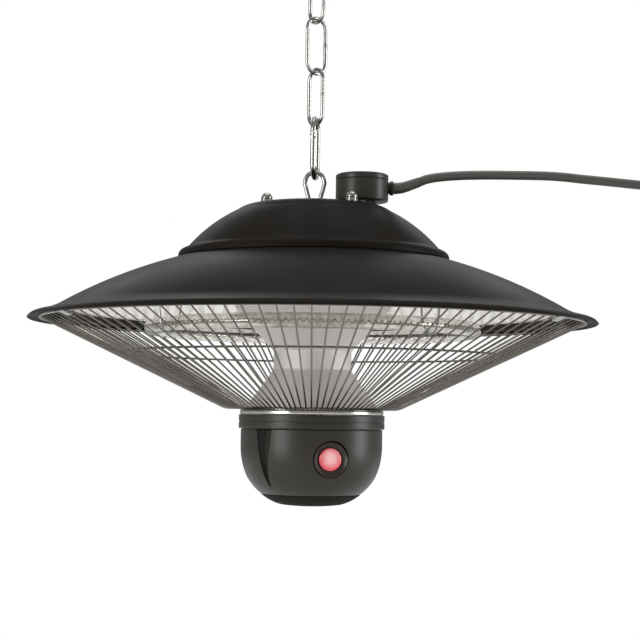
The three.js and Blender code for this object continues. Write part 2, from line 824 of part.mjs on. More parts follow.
// Moves something laid out at a lamp end on +X, with the lamp leaving along +X, to its place.
function atLampEnd(item, side) {
  const lean = (lampGapAngle + lampStep / 2) * degree;
  const turn = new THREE.Matrix4().makeRotationZ(-side * lean);
  if (side < 0) turn.multiply(new THREE.Matrix4().makeRotationZ(Math.PI));
  const [x, y] = polar(lampR, 90 - side * lampGapAngle);
  return item.applyMatrix4(turn.setPosition(x, y, lampZ));
}

// Ceramic end holder: the lamp's end sits in its socket.
function lampHolder(side) {
  const body = block(holderReach + holderSocket, holderWide, holderTall,
    -(holderReach - holderSocket) / 2, 0, -holderTall / 2);
  const socket = rod(lampTubeR + gap, -gap, holderSocket + overrun, 12).rotateY(Math.PI / 2);
  return atLampEnd(cut(body, socket), side);
}

const holderTopZ = lampZ + holderTall / 2;

// Sheet bridge over both holders, with two legs up to the reflector.
function holderBracket() {
  const low = holderTopZ + gap;
  const [endX] = polar(lampR, 90 - lampGapAngle);
  const plateHalf = endX + holderSocket / 2;
  const high = reflectorSeatZ;
  const y = lampR;
  const plate = block(2 * plateHalf, bracketWide, bracketThick, 0, y, low);
  const legs = [-1, 1].map((s) =>
    block(bracketThick, bracketWide, high - low, s * (plateHalf - bracketThick / 2), y, low));
  return cut(join(plate, ...legs), aboveReflector());
}

// Sheath of the lead from the board to a lamp holder, through the column's wall.
function lampLeadRoutes() {
  return [-1, 1].map((side) => {
    const place = (out) => atLampEnd(
      new THREE.Vector3(-holderReach / 2, -side * (holderWide / 2 + out), 0), side).toArray();
    return [side * lampLeadX, [
      [side * collarHoleR / 2, 0, boardZ + gap + lampLeadR],
      [side * collarHoleR / 2, 0, collarTopZ],
      [side * lampLeadX, columnR / 3, columnWaistLowZ],
      [side * lampLeadX, columnR / 2, columnWaistHighZ],
      [side * lampLeadX, columnR, columnFlareZ],
      [side * lampLeadX, columnTopR - 2 * lampTubeR, lampLeadZ],
      [side * lampLeadX, columnTopR + lampTubeR, lampLeadZ],
      [side * lampLeadX, (lampR + columnTopR) / 2, (lampLeadZ + lampZ) / 2],
      place(holderWide / 2),
      place(gap),
    ]];
  });
}

// Net of wires over a surface of revolution, with the rings in the same skin as the wires.
// Each station is [radius, height] of the net's middle, with its upward normal.
function wireGuard() {
  const onCone = (r) => [r, onGuardCone(r), guardSlope];
  const innerOut = guardInnerR + guardInnerWide;
  const stations = [
    onCone(guardRimR + guardRingWide / 2),
    onCone(guardRimR - guardRingWide / 2),
    [guardCornerR, guardCornerZ, guardSlope / 2],
    [innerOut, guardCornerZ, 0],
    [guardInnerR, guardCornerZ, 0],
  ];
  const last = stations.length - 1;
  const rings = [0, last - 1];
  const points = [];
  const index = {};
  const vertex = (k, s, side, face) => {
    const key = [k % guardWires, s, side, face].join();
    if (index[key] === undefined) {
      const [r, z, lean] = stations[s];
      const out = r - (face * wireThick * Math.sin(lean)) / 2;
      const up = z + (face * wireThick * Math.cos(lean)) / 2;
      const turn = (360 * (k % guardWires)) / guardWires + (side * Math.asin(wireWide / 2 / r)) / degree;
      index[key] = points.length / 3;
      points.push(...polar(out, turn), up);
    }
    return index[key];
  };
  const faces = [];
  const quad = (a, b, c, d) => faces.push(a, b, c, a, c, d);
  for (let k = 0; k < guardWires; k++) {
    for (let s = 0; s < last; s++) {
      const ring = rings.includes(s);
      for (const face of [-1, 1]) {
        const v = (n, at, side) => vertex(k + n, at, side, face);
        const flat = face > 0 ? quad : (a, b, c, d) => quad(d, c, b, a);
        const corner = face > 0 ? (a, b, c) => faces.push(a, b, c) : (a, b, c) => faces.push(c, b, a);
        if (s === 0) {
          corner(v(0, 0, 0), v(0, 1, 1), v(0, 1, -1));
          flat(v(0, 0, 0), v(1, 0, 0), v(1, 1, -1), v(0, 1, 1));
        } else if (s === last - 1) {
          corner(v(0, last, 0), v(0, s, -1), v(0, s, 1));
          flat(v(0, s, 1), v(1, s, -1), v(1, last, 0), v(0, last, 0));
        } else {
          flat(v(0, s, -1), v(0, s, 1), v(0, s + 1, 1), v(0, s + 1, -1));
          if (ring) flat(v(0, s, 1), v(1, s, -1), v(1, s + 1, -1), v(0, s + 1, 1));
        }
      }
      const wall = (k0, s0, d0, k1, s1, d1) => quad(
        vertex(k0, s0, d0, -1), vertex(k1, s1, d1, -1), vertex(k1, s1, d1, 1), vertex(k0, s0, d0, 1));
      if (s === 0) wall(k, 0, 0, k + 1, 0, 0);
      if (s === last - 1) wall(k + 1, last, 0, k, last, 0);
      if (ring && s > 0) wall(k, s, 1, k + 1, s, -1);
      if (ring && s < last - 1) wall(k + 1, s + 1, -1, k, s + 1, 1);
      if (!ring) {
        wall(k, s, 1, k, s + 1, 1);
        wall(k, s + 1, -1, k, s, -1);
      }
    }
  }
  const g = new THREE.BufferGeometry();
  g.setAttribute('position', new THREE.Float32BufferAttribute(points, 3));
  g.setIndex(faces);
  return g;
}

const guardSlope = Math.atan2(guardRimZ - guardCornerZ, guardRimR - guardCornerR);
const onGuardCone = (r) => guardRimZ - (guardRimR - r) * Math.tan(guardSlope);

// Middle ring, welded over the wires.
function guardMidRing() {
  const corner = (out, up) => {
    const r = guardMidR + out;
    return [r, onGuardCone(r) + (wireThick / 2 + 2 * gap + up) / Math.cos(guardSlope)];
  };
  const half = guardMidWide / 2;
  return revolve([corner(-half, 0), corner(-half, guardMidWide), corner(half, guardMidWide), corner(half, 0)],
    roundRing);
}

// Z-shaped clip: its upper leaf under the shade's lip, its lower leaf under the guard's rim.
function guardClip(angle) {
  const under = (r) => onGuardCone(r) - (wireThick / 2 + gap) / Math.cos(guardSlope);
  const lipUnder = beside(shadeFace(), shadeSheet + gap);
  const step = guardRimR + guardRingWide / 2 + wireThick / 2 + gap;
  const shape = new THREE.Shape();
  shape.moveTo(clipReach, under(clipReach) - clipThick);
  shape.lineTo(step + clipThick, under(step) - clipThick);
  shape.lineTo(step + clipThick, heightAt(lipUnder, step + clipThick) - clipThick);
  shape.lineTo(clipLipR, heightAt(lipUnder, clipLipR) - clipThick);
  shape.lineTo(clipLipR, heightAt(lipUnder, clipLipR));
  shape.lineTo(step, heightAt(lipUnder, step));
  shape.lineTo(step, under(step));
  shape.lineTo(clipReach, under(clipReach));
  shape.closePath();
  return new THREE.ExtrudeGeometry(shape, { depth: clipWide, bevelEnabled: false, steps: 1 })
    .rotateX(Math.PI / 2).translate(0, clipWide / 2, 0).rotateZ(angle * degree);
}

function trimRing() {
  const low = trimTopZ - trimHeight;
  const round = trimHeight / 4;
  const body = revolve([
    [trimInnerR, trimTopZ], [trimR - round, trimTopZ], [trimR, trimTopZ - round],
    [trimR, low + round], [trimR - round, low], [trimInnerR, low],
  ], roundBowl);
  return cut(body, ...screwHoles(low, trimTopZ));
}

function collar() {
  const low = collarTopZ - collarHeight;
  const plateLow = collarTopZ - collarWall;
  const seam = collarTopZ - collarHeight / 2;
  const inner = bowlR - gap;
  const body = revolve([
    [collarHoleR, collarTopZ], [collarR, collarTopZ], [collarR, seam + collarGroove],
    [collarR - collarGroove, seam + collarGroove], [collarR - collarGroove, seam], [collarR, seam],
    [collarR, low], [inner, low], [inner, plateLow], [collarHoleR, plateLow],
  ], roundBowl);
  const posts = boardPostAngles.map((a) =>
    rod(boardPostR, boardZ + boardThick + gap, plateLow + overrun, 8, ...polar(boardPostCircleR, a)));
  return cut(join(body, ...posts), ...screwHoles(plateLow, collarTopZ));
}

function bowlFace() {
  const kneeZ = bowlTopZ - bowlKnuckleDrop;
  return [
    [bowlR, bowlTopZ],
    ...bow([bowlR, bowlTopZ - bowlStraight], [bowlKnuckleR, kneeZ], bowlKnuckleRound, 2),
    ...bow([bowlKnuckleR, kneeZ], [bowlLipR, bowlLowZ], bowlLowRound, 2).slice(1),
  ];
}

// Places a piece built along +Z at the button, pointing out of the bowl.
function atButton(geometry) {
  return geometry.rotateY(Math.PI / 2).rotateZ(buttonAngle * degree).translate(0, 0, buttonZ);
}

function controlBowl() {
  const face = bowlFace();
  const inside = beside(face, bowlWall).reverse();
  const spigotR = bowlR - 2 * gap - spigotWall / 2;
  const spigotTop = bowlTopZ + spigotHeight;
  inside[0] = [bowlLipR - bowlWall, bowlLowZ];
  inside[inside.length - 1] = [spigotR - spigotWall, spigotTop];
  const shell = revolve([[spigotR, spigotTop], [spigotR, bowlTopZ], ...face, ...inside], roundBowl);
  const full = revolve([[0, bowlTopZ], ...face, [0, bowlLowZ]], roundBowl);
  const boss = common(
    atButton(rod(recessR + recessWall / 2, recessFloor - recessWall, bowlR + overrun, roundBox)), full);
  const flutes = fluteAngles.map((a) => {
    const cone = new THREE.CylinderGeometry(fluteTopR, fluteFootR, fluteLength, 10)
      .rotateX(Math.PI / 2).translate(bowlR + fluteTopR - fluteDepth, 0, bowlTopZ - fluteLength / 2);
    return cone.rotateZ(a * degree);
  });
  return cut(
    join(shell, boss),
    atButton(rod(recessR, recessFloor, bowlR + overrun, roundBox)),
    atButton(rod(buttonR + gap, 0, recessFloor + overrun, roundSmall)),
    ...flutes,
  );
}

function bottomCap() {
  const spigotR = bowlLipR - bowlWall - gap;
  const high = capTopZ + capSpigot;
  const shoulder = [capShoulderR, capLowZ + capShoulderRise];
  const face = [
    ...bow([bowlLipR, capTopZ], shoulder, capShoulderRound, 3),
    ...bow(shoulder, [0, capLowZ], capRound, 2).slice(1),
  ];
  return revolve([
    [0, capTopZ - capWall], [spigotR - capWall, capTopZ], [spigotR - capWall, high],
    [spigotR, high], [spigotR, capTopZ], ...face,
  ], roundBowl);
}

function buttonBezel() {
  const low = recessFloor + gap;
  const high = low + bezelThick;
  const hole = buttonR + gap;
  return atButton(revolve([
    [hole, low], [bezelR, low], [bezelR, high - bezelThick / 2], [hole, high],
  ], roundBox));
}

const buttonBack = recessFloor - recessWall - gap; // outer face of the flange that keeps it in

function pushButton() {
  const face = recessFloor + gap + bezelThick + buttonProud;
  const stemEnd = buttonBack - buttonFlangeThick - buttonStem;
  const flangeLow = buttonBack - buttonFlangeThick;
  return atButton(revolve([
    [0, stemEnd], [buttonStemR, stemEnd], [buttonStemR, flangeLow], [buttonFlangeR, flangeLow],
    [buttonFlangeR, buttonBack], [buttonR, buttonBack], [buttonR, face - buttonCrown],
    [buttonR - buttonCrown, face], [0, face + buttonCrown],
  ], roundSmall));
}

function switchBody() {
  const front = buttonBack - buttonFlangeThick - buttonStem - buttonTravel - gap;
  const body = block(switchSide, switchSide, switchDepth, 0, 0, front - switchDepth);
  const arm = block(switchSide, bracketThick, boardZ - buttonZ - gap, 0, 0, 0)
    .rotateZ(buttonAngle * degree - Math.PI / 2)
    .translate(...polar(front - switchDepth / 2, buttonAngle), buttonZ);
  return join(atButton(body), arm);
}

// Board with the relay soldered to its underside.
function circuitBoard() {
  const [width, depth, height] = relaySize;
  const relay = block(width, depth, height, ...relayPlace, boardZ - height);
  return join(rod(boardR, boardZ, boardZ + boardThick, 16), relay);
}

function housingScrew(angle) {
  const [x, y] = polar(screwCircleR, angle);
  const headTop = collarTopZ - collarWall - gap;
  const tip = columnFootZ + columnSheet + overrun;
  return revolve([
    [0, headTop - screwHeadThick], [screwHeadR, headTop - screwHeadThick], [screwHeadR, headTop],
    [screwR, headTop], [screwR, tip], [0, tip],
  ], roundPin).translate(x, y, 0);
}

// Round box, open on top, with a hole for the gland and two for the leads.
function boxBody() {
  const high = boxZ + boxHeight;
  const bore = boxR - boxWall;
  const body = revolve([
    [0, boxZ], [boxR, boxZ], [boxR, high], [bore, high], [bore, boxZ + boxWall], [0, boxZ + boxWall],
  ], roundBox).translate(boxX, boxY, 0);
  const side = rod(glandNeckR + gap, 0, boxR + overrun, roundSmall).rotateY(Math.PI / 2)
    .translate(boxX, boxY, glandZ);
  const floor = leadXs.map((x) =>
    rod(leadR + 2 * gap, boxZ - overrun, boxZ + boxWall + overrun, roundPin, x, leadY));
  return cut(body, side, ...floor);
}

function boxLid() {
  const low = boxZ + boxHeight + gap;
  const high = low + lidHeight;
  const edge = lidThick / 2;
  const skirtOut = boxR - boxWall - gap;
  const body = revolve([
    [0, high], [boxR - edge, high], [boxR, high - edge], [boxR, low], [skirtOut, low],
    [skirtOut, low - lidThick], [skirtOut - lidThick, low - lidThick],
    [skirtOut - lidThick, high - lidThick], [0, high - lidThick],
  ], roundBox);
  const notch = block(boxR, 2 * (glandRingR + gap), lidThick + overrun, boxR, 0, low - lidThick - overrun);
  return cut(body, notch).translate(boxX, boxY, 0);
}

// Strap from the third nut to the underside of the box, with a step up.
function boxStrap() {
  const [x, y] = polar(studCircleR, studAngles[2]);
  const low = domeTopZ + gap;
  const high = boxZ - gap - strapThick;
  const shape = new THREE.Shape();
  shape.moveTo(-strapEnd, low);
  shape.lineTo(strapStep, low);
  shape.lineTo(strapStep + strapRise, high);
  shape.lineTo(strapUnderBox, high);
  shape.lineTo(strapUnderBox, high + strapThick);
  shape.lineTo(strapStep + strapRise - strapThick / 2, high + strapThick);
  shape.lineTo(strapStep - strapThick / 2, low + strapThick);
  shape.lineTo(-strapEnd, low + strapThick);
  shape.closePath();
  const body = new THREE.ExtrudeGeometry(shape, { depth: strapWide, bevelEnabled: false, steps: 1 })
    .rotateX(Math.PI / 2).translate(0, strapWide / 2, 0)
    .rotateZ(Math.atan2(boxY - y, boxX - x)).translate(x, y, 0);
  return cut(body, rod(threadR + gap, low - overrun, low + strapThick + overrun, roundPin, x, y));
}

function terminalBlock() {
  const [width, depth, height] = terminalSize;
  return block(width, depth, height, boxX, boxY + terminalY / 2, boxZ + boxWall + gap);
}

// Gland turned along +X: a flange inside the box, a neck through its wall and a ring outside.
function cableGland() {
  const wallOut = boxR;
  const wallIn = Math.sqrt((boxR - boxWall) ** 2 - glandRingR ** 2) - gap;
  const ringLow = wallOut + glandNeckOut;
  return revolve([
    [0, wallIn - glandFlangeThick], [glandRingR, wallIn - glandFlangeThick], [glandRingR, wallIn],
    [glandNeckR, wallIn], [glandNeckR, ringLow], [glandRingR, ringLow],
    [glandRingR, ringLow + glandRingThick], [0, ringLow + glandRingThick],
  ], roundSmall).rotateY(Math.PI / 2).translate(boxX, boxY, glandZ);
}

const glandEndX = boxX + boxR + glandNeckOut + glandRingThick;

// Supply leads: from the terminal block through the dome and down the column to the board.
function supplyLead(index) {
  const x = leadXs[index];
  const side = index === 0 ? 1 : -1;
  const shift = 2 * (leadR + gap);
  const aside = index * shift;
  return tube([
    [x, leadY, boxZ + boxWall + leadR],
    [x, leadY, domeTopZ],
    [x, leadY, hangerTopZ - 2 * hangerThick - aside],
    [(x + shadeHoleR) / 2, leadY - aside, (domeTopZ + shadeSeatZ) / 2],
    [shadeHoleR / 2 + side * shift / 2, -shift / 2 - aside, shadeSeatZ],
    [side * shift / 2, -shift, columnWaistHighZ],
    [side * shift / 2, -shift, collarTopZ],
    [side * shift / 2, -shift, boardZ + boardThick + gap],
  ], leadR, 5, 12);
}

const lampLead = ([, points]) => tube(points, lampLeadR, 5, 12);

// Cable route after its sleeve, [x, z]: chosen by hand along the cable as it hangs out to the right.
const cableRoute = [
  [95.7, 113.8], [111.2, 115.1], [131, 115.7], [152, 115.8], [172.5, 115.7],
  [188, 115], [203.3, 113.5], [224, 111.7], [244.6, 109.8], [262, 108],
];
const sleeveLean = 20; // degrees, upwards
const sleeveSteps = 4;

// Lean of the sleeve after a number of its steps: it bends over its first half, then runs straight.
const leanAfter = (step) => Math.min((2 * sleeveLean * step) / sleeveSteps, sleeveLean) * degree;

// Points along the sleeve, from the gland outwards.
function sleevePath() {
  const points = [new THREE.Vector3(glandEndX + gap, boxY, glandZ)];
  for (let i = 0; i < sleeveSteps; i++) {
    const along = leanAfter(i + 1 / 2);
    const step = new THREE.Vector3(Math.cos(along), 0, Math.sin(along));
    points.push(points[i].clone().addScaledVector(step, sleeveLength / sleeveSteps));
  }
  return points;
}

function cableSleeve() {
  const taper = (sleeveR - cableR - gap) / sleeveSteps;
  return skin(sleevePath().map((p, i) => {
    const along = new THREE.Vector3(Math.cos(leanAfter(i)), 0, Math.sin(leanAfter(i)));
    return ringAt(p, along, sideways, sleeveR - taper * i, roundSmall);
  }), false);
}

// Coil, seen along Y: angle runs clockwise from the top, so the cable meets it heading right.
const coilOutR = coilMeanR + (coilPitch * coilTurns) / coilLayers / 2;
const coilEntryTurn = coilEntry / 360;

function coilPoint(turns, centreZ) {
  const perLayer = coilTurns / coilLayers;
  const phase = turns / perLayer;
  const fold = Math.abs(phase - 2 * Math.round(phase / 2));
  const radius = coilOutR - coilPitch * perLayer * fold;
  let layer = 0;
  for (let k = 1; k < coilLayers; k++) {
    const climb = THREE.MathUtils.clamp(2 * (turns - k * perLayer) + 1 / 2, 0, 1);
    layer += climb;
  }
  const angle = 360 * (turns + coilEntryTurn);
  const [down, across] = polar(radius, angle);
  return new THREE.Vector3(coilX + across, boxY - layer * coilPitch, centreZ + down);
}

const cableEnd = cableRoute.at(-1);
const coilStart = [
  coilX + coilOutR * Math.sin(coilEntry * degree) - 2 * cableR * Math.cos(coilEntry * degree),
  cableEnd[1] - (coilX + coilOutR * Math.sin(coilEntry * degree) - 2 * cableR - cableEnd[0])
    * Math.tan(coilEntry * degree),
];
const coilCentreZ = coilStart[1] - 2 * cableR * Math.sin(coilEntry * degree)
  - coilOutR * Math.cos(coilEntry * degree);

function coilTravel() {
  const entry = coilPoint(0, coilCentreZ);
  const heading = new THREE.Vector3(Math.cos(coilEntry * degree), 0, -Math.sin(coilEntry * degree));
  const route = [entry.clone().addScaledVector(heading, gap - 2 * cableR)];
  const steps = Math.round(coilTurns * coilStepsPerTurn);
  for (let i = 0; i <= steps; i++) route.push(coilPoint((coilTurns * i) / steps, coilCentreZ));
  const end = route.at(-1);
  route.push(end.clone().add(new THREE.Vector3(0, 0, -2 * cableR)));
  return route;
}

// Least gap between turns, measured on the route's points more than half a turn apart.
function leastGap(route) {
  let least = Infinity;
  const apart = coilStepsPerTurn / 2;
  for (let i = 0; i < route.length; i++) {
    for (let j = i + apart; j < route.length; j++) {
      least = Math.min(least, route[i].distanceTo(route[j]) - 2 * cableR);
    }
  }
  return least;
}

const coilPath = coilTravel();
console.log(`coil: least gap between turns ${leastGap(coilPath).toFixed(2)} mm`);

const cordCoil = () => routeTube(coilPath, cableR, sideways, 6);

function cordLead() {
  const lean = sleeveLean * degree;
  const end = sleevePath().at(-1);
  const first = [gap, 2 * cableR].map((on) => [end.x + on * Math.cos(lean), end.z + on * Math.sin(lean)]);
  const stop = [coilStart[0] - gap / 2, coilStart[1]];
  const points = [...first, ...cableRoute, stop].map(([x, z]) => [x, boxY, z]);
  return tube(points, cableR, 8, 16);
}

const tailTop = coilPath.at(-1).clone().add(new THREE.Vector3(0, 0, -gap));

const cordTail = () => rod(cableR, tailTop.z - tailLength, tailTop.z, 8, tailTop.x, tailTop.y);

// Tie round the whole bundle, at the coil's lowest point.
function coilTie() {
  const slack = cableR + tieSlack;
  const highZ = coilCentreZ - coilOutR + (coilPitch * coilTurns) / coilLayers + slack;
  const lowZ = coilCentreZ - coilOutR - slack;
  const nearY = boxY - (coilLayers - 1) * coilPitch - slack;
  const farY = boxY + slack;
  const frame = (grow) => block(tieWide + 2 * (grow ? 0 : overrun), farY - nearY + 2 * grow,
    highZ - lowZ + 2 * grow, coilX, (farY + nearY) / 2, lowZ - grow);
  return cut(frame(tieThick), frame(0));
}

const plugTopZ = tailTop.z - tailLength - gap;

function plugBody() {
  const low = plugTopZ - plugLength;
  const face = low + plugFaceThick;
  const body = revolve([
    [0, low], [plugFaceR, low], [plugFaceR, face], [plugGripR, face + plugFaceThick / 2],
    [plugGripR, plugTopZ - plugFaceThick], [plugNeckR, plugTopZ], [0, plugTopZ],
  ], 16).translate(tailTop.x, tailTop.y, 0);
  const sockets = [-1, 1].map((s) =>
    rod(pinR + gap, low - overrun, face, roundPin, tailTop.x + s * pinHalf, tailTop.y));
  return cut(body, ...sockets);
}

function plugPin(side) {
  const low = plugTopZ - plugLength;
  return rod(pinR, low - pinLength, low + plugFaceThick - gap, roundPin, tailTop.x + side * pinHalf, tailTop.y);
}

piece('ceiling_plate', ceilingPlate(), zincSteel);
piece('ceiling_hook', ceilingHook(), brightSteel).rotation.z = linkTurns[linkCount % 2] * degree;
for (let i = 0; i < linkCount; i++) {
  const link = piece(`chain_link_${linkCount - i}`, chainLink(i), brightSteel);
  link.rotation.z = linkTurns[i % 2] * degree;
}
piece('snap_hook_body', snapHookBody(), brightSteel, hookPlane);
piece('snap_hook_gate', snapHookGate(), brightSteel, hookPlane);
piece('snap_gate_pin', gatePin(), zincSteel, hookPlane);
piece('lifting_eye', liftingEye(), brightSteel);

piece('top_dome', dome(), blackEnamel);
piece('shade', shade(), blackEnamel);
piece('hanger_plate', hangerPlate(), zincSteel);
studAngles.forEach((_, i) => {
  piece(`acorn_nut_${i + 1}`, acornNut(i), brightSteel);
  piece(`standoff_stud_${i + 1}`, standoff(i), zincSteel);
});

piece('junction_box_body', boxBody(), blackPlastic);
piece('junction_box_lid', boxLid(), blackPlastic);
piece('box_strap', boxStrap(), zincSteel);
piece('terminal_block', terminalBlock(), ceramic);
piece('cable_gland', cableGland(), blackPlastic);
piece('supply_lead_1', supplyLead(0), rubber);
piece('supply_lead_2', supplyLead(1), rubber);

piece('reflector', reflector(), aluminium);
piece('halogen_tube', halogenTube(), quartz);
piece('halogen_filament', halogenFilament(), tungsten);
piece('lamp_holder_1', lampHolder(1), ceramic);
piece('lamp_holder_2', lampHolder(-1), ceramic);
piece('holder_bracket', holderBracket(), zincSteel);
lampClipSteps.forEach((s, i) => piece(`lamp_clip_${i + 1}`, lampClip(s), zincSteel));
lampLeadRoutes().forEach((r, i) => piece(`lamp_lead_${i + 1}`, lampLead(r), sleeveWhite));

piece('centre_column', column(), aluminium);
piece('wire_guard', wireGuard(), darkWire);
piece('guard_mid_ring', guardMidRing(), darkWire);
clipAngles.forEach((a, i) => piece(`guard_clip_${i + 1}`, guardClip(a), zincSteel));
piece('trim_ring', trimRing(), brightSteel);

piece('collar', collar(), blackPlastic);
piece('control_bowl', controlBowl(), blackPlastic);
piece('bottom_cap', bottomCap(), blackPlastic);
piece('button_bezel', buttonBezel(), blackPlastic);
piece('push_button', pushButton(), redLens);
piece('switch_body', switchBody(), blackPlastic);
piece('circuit_board', circuitBoard(), boardGreen);
screwAngles.forEach((a, i) => piece(`housing_screw_${i + 1}`, housingScrew(a), zincSteel));

piece('cable_sleeve', cableSleeve(), rubber);
piece('cord_lead', cordLead(), rubber);
piece('cord_coil', cordCoil(), rubber);
piece('cord_tail', cordTail(), rubber);
piece('coil_tie', coilTie(), rubber);
piece('plug_body', plugBody(), rubber);
piece('plug_pin_1', plugPin(-1), brass);
piece('plug_pin_2', plugPin(1), brass);

export default hanging;
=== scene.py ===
import math

import bmesh
import bpy
import numpy as np
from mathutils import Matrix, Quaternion, Vector


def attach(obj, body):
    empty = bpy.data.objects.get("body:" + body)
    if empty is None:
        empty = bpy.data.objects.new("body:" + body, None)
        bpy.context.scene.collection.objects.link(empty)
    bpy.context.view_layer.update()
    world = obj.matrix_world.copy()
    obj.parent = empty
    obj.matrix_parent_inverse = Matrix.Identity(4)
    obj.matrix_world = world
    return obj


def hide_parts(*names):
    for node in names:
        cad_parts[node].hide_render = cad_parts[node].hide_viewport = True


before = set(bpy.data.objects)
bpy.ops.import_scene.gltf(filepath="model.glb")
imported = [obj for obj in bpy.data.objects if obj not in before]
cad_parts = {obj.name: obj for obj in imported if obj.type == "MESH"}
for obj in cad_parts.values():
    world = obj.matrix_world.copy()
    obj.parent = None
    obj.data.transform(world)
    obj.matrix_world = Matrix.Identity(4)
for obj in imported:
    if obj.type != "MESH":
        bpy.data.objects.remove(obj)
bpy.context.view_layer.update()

# Lengths below are millimetres over the rim of the shade; the ceiling face is the scene's zero.
ceilingOverRim = 298.7
mm = 0.001
degree = math.pi / 180


def toWorld(points):
    # x and y stay, height over the rim becomes height below the ceiling, millimetres become metres
    out = np.array(points, dtype=float)
    out[..., 2] -= ceilingOverRim
    return out * mm


def meshFrom(name, points, faces):
    # points in metres and faces as rows of point numbers, linked to the scene as one object
    mesh = bpy.data.meshes.new(name)
    mesh.from_pydata(points.tolist(), [], faces.tolist())
    mesh.update()
    obj = bpy.data.objects.new(name, mesh)
    bpy.context.scene.collection.objects.link(obj)
    return obj


def finishMesh(obj, sharp=35):
    # merge poles and seams, point the faces outwards, smooth all but sharp edges
    work = bmesh.new()
    work.from_mesh(obj.data)
    bmesh.ops.remove_doubles(work, verts=work.verts, dist=1e-6)
    bmesh.ops.dissolve_degenerate(work, dist=1e-7, edges=work.edges)
    bmesh.ops.recalc_face_normals(work, faces=work.faces)
    work.to_mesh(obj.data)
    work.free()
    obj.data.shade_smooth()
    obj.data.set_sharp_from_angle(angle=sharp * degree)
    return obj


def gridFaces(rows, columns, closeRows, closeColumns):
    # quads between neighbouring rows and columns of a grid of points
    r = np.arange(rows if closeRows else rows - 1)
    c = np.arange(columns if closeColumns else columns - 1)
    r, c = np.meshgrid(r, c, indexing="ij")
    r2, c2 = (r + 1) % rows, (c + 1) % columns
    quads = np.stack([r * columns + c, r * columns + c2, r2 * columns + c2, r2 * columns + c], -1)
    return quads.reshape(-1, 4)


def surface(name, grid, closeRows=False, closeColumns=False, sharp=35):
    # grid[i, j] is a point of the surface over two parameters
    rows, columns = grid.shape[:2]
    faces = gridFaces(rows, columns, closeRows, closeColumns)
    return finishMesh(meshFrom(name, toWorld(grid).reshape(-1, 3), faces), sharp)


def fullTurn(count):
    # even angles once round
    return np.linspace(0, 2 * math.pi, count, endpoint=False)


def turnedGrid(profile, sides, centre=(0, 0)):
    # each profile point (radius, height) is carried round the axis
    profile = np.asarray(profile, dtype=float)
    angle = fullTurn(sides)[:, None]
    x = centre[0] + np.cos(angle) * profile[None, :, 0]
    y = centre[1] + np.sin(angle) * profile[None, :, 0]
    z = np.broadcast_to(profile[None, :, 1], x.shape)
    return np.stack([x, y, z], -1)


def turned(name, profile, sides=128, centre=(0, 0), sharp=35):
    # a profile that starts on the axis closes there in poles, any other closes into a ring
    onAxis = abs(profile[0][0]) < 1e-6
    return surface(name, turnedGrid(profile, sides, centre), True, not onAxis, sharp)


def bow(start, end, rise, steps):
    # circular arc from start to end that bulges by rise to the left of the way:
    # radius = (half the chord squared + rise squared) / twice the rise
    a, b = np.array(start, float), np.array(end, float)
    half = np.linalg.norm(b - a) / 2
    radius = (half * half + rise * rise) / (2 * abs(rise))
    along = (b - a) / (2 * half)
    hand = math.copysign(1, rise)
    side = np.array([-along[1], along[0]]) * hand
    centre = (a + b) / 2 + side * (abs(rise) - radius)
    t = np.linspace(0, -2 * math.asin(half / radius) * hand, steps + 1)
    c, s = np.cos(t), np.sin(t)
    d = a - centre
    x = centre[0] + c * d[0] - s * d[1]
    y = centre[1] + s * d[0] + c * d[1]
    return [tuple(p) for p in np.stack([x, y], -1)]


def filleted(corners, radii, steps):
    # a closed polygon whose corners are cut by arcs;
    # an arc starts at the distance radius / tan(half the angle) from its corner
    longest = 0.49  # share of a side that one arc may take
    points = []
    corners = np.array(corners, float)
    count = len(corners)
    for i, radius in enumerate(radii):
        p, before, after = corners[i], corners[i - 1], corners[(i + 1) % count]
        u, v = before - p, after - p
        lu, lv = np.linalg.norm(u), np.linalg.norm(v)
        u, v = u / lu, v / lv
        angle = math.acos(float(np.clip(u @ v, -1, 1)))
        if radius <= 0 or angle > math.pi - 1e-3:
            points.append(tuple(p))
            continue
        cut = min(radius / math.tan(angle / 2), longest * lu, longest * lv)
        radius = cut * math.tan(angle / 2)
        centre = p + (u + v) / np.linalg.norm(u + v) * radius / math.sin(angle / 2)
        a, b = p + u * cut - centre, p + v * cut - centre
        turn = math.atan2(a[0] * b[1] - a[1] * b[0], a @ b)
        for t in np.linspace(0, turn, steps + 1):
            c, s = math.cos(t), math.sin(t)
            points.append((centre[0] + c * a[0] - s * a[1], centre[1] + s * a[0] + c * a[1]))
    return points


def beside(profile, distance):
    # the profile moved sideways, to the right of the way it runs, and further at a corner:
    # distance / cosine of half its turn
    leastCosine = 0.3
    p = np.array(profile, float)
    step = np.diff(p, axis=0)
    normal = np.stack([step[:, 1], -step[:, 0]], -1)
    normal /= np.linalg.norm(normal, axis=1)[:, None]
    before = np.vstack([normal[:1], normal])
    after = np.vstack([normal, normal[-1:]])
    mean = before + after
    mean /= np.linalg.norm(mean, axis=1)[:, None]
    reach = np.maximum((mean * before).sum(1), leastCosine)
    return [tuple(q) for q in p + mean * (distance / reach)[:, None]]


def sheetMetal(profile, thickness):
    # the outer line, and back along the same line one thickness further in
    return list(profile) + beside(profile, thickness)[::-1]


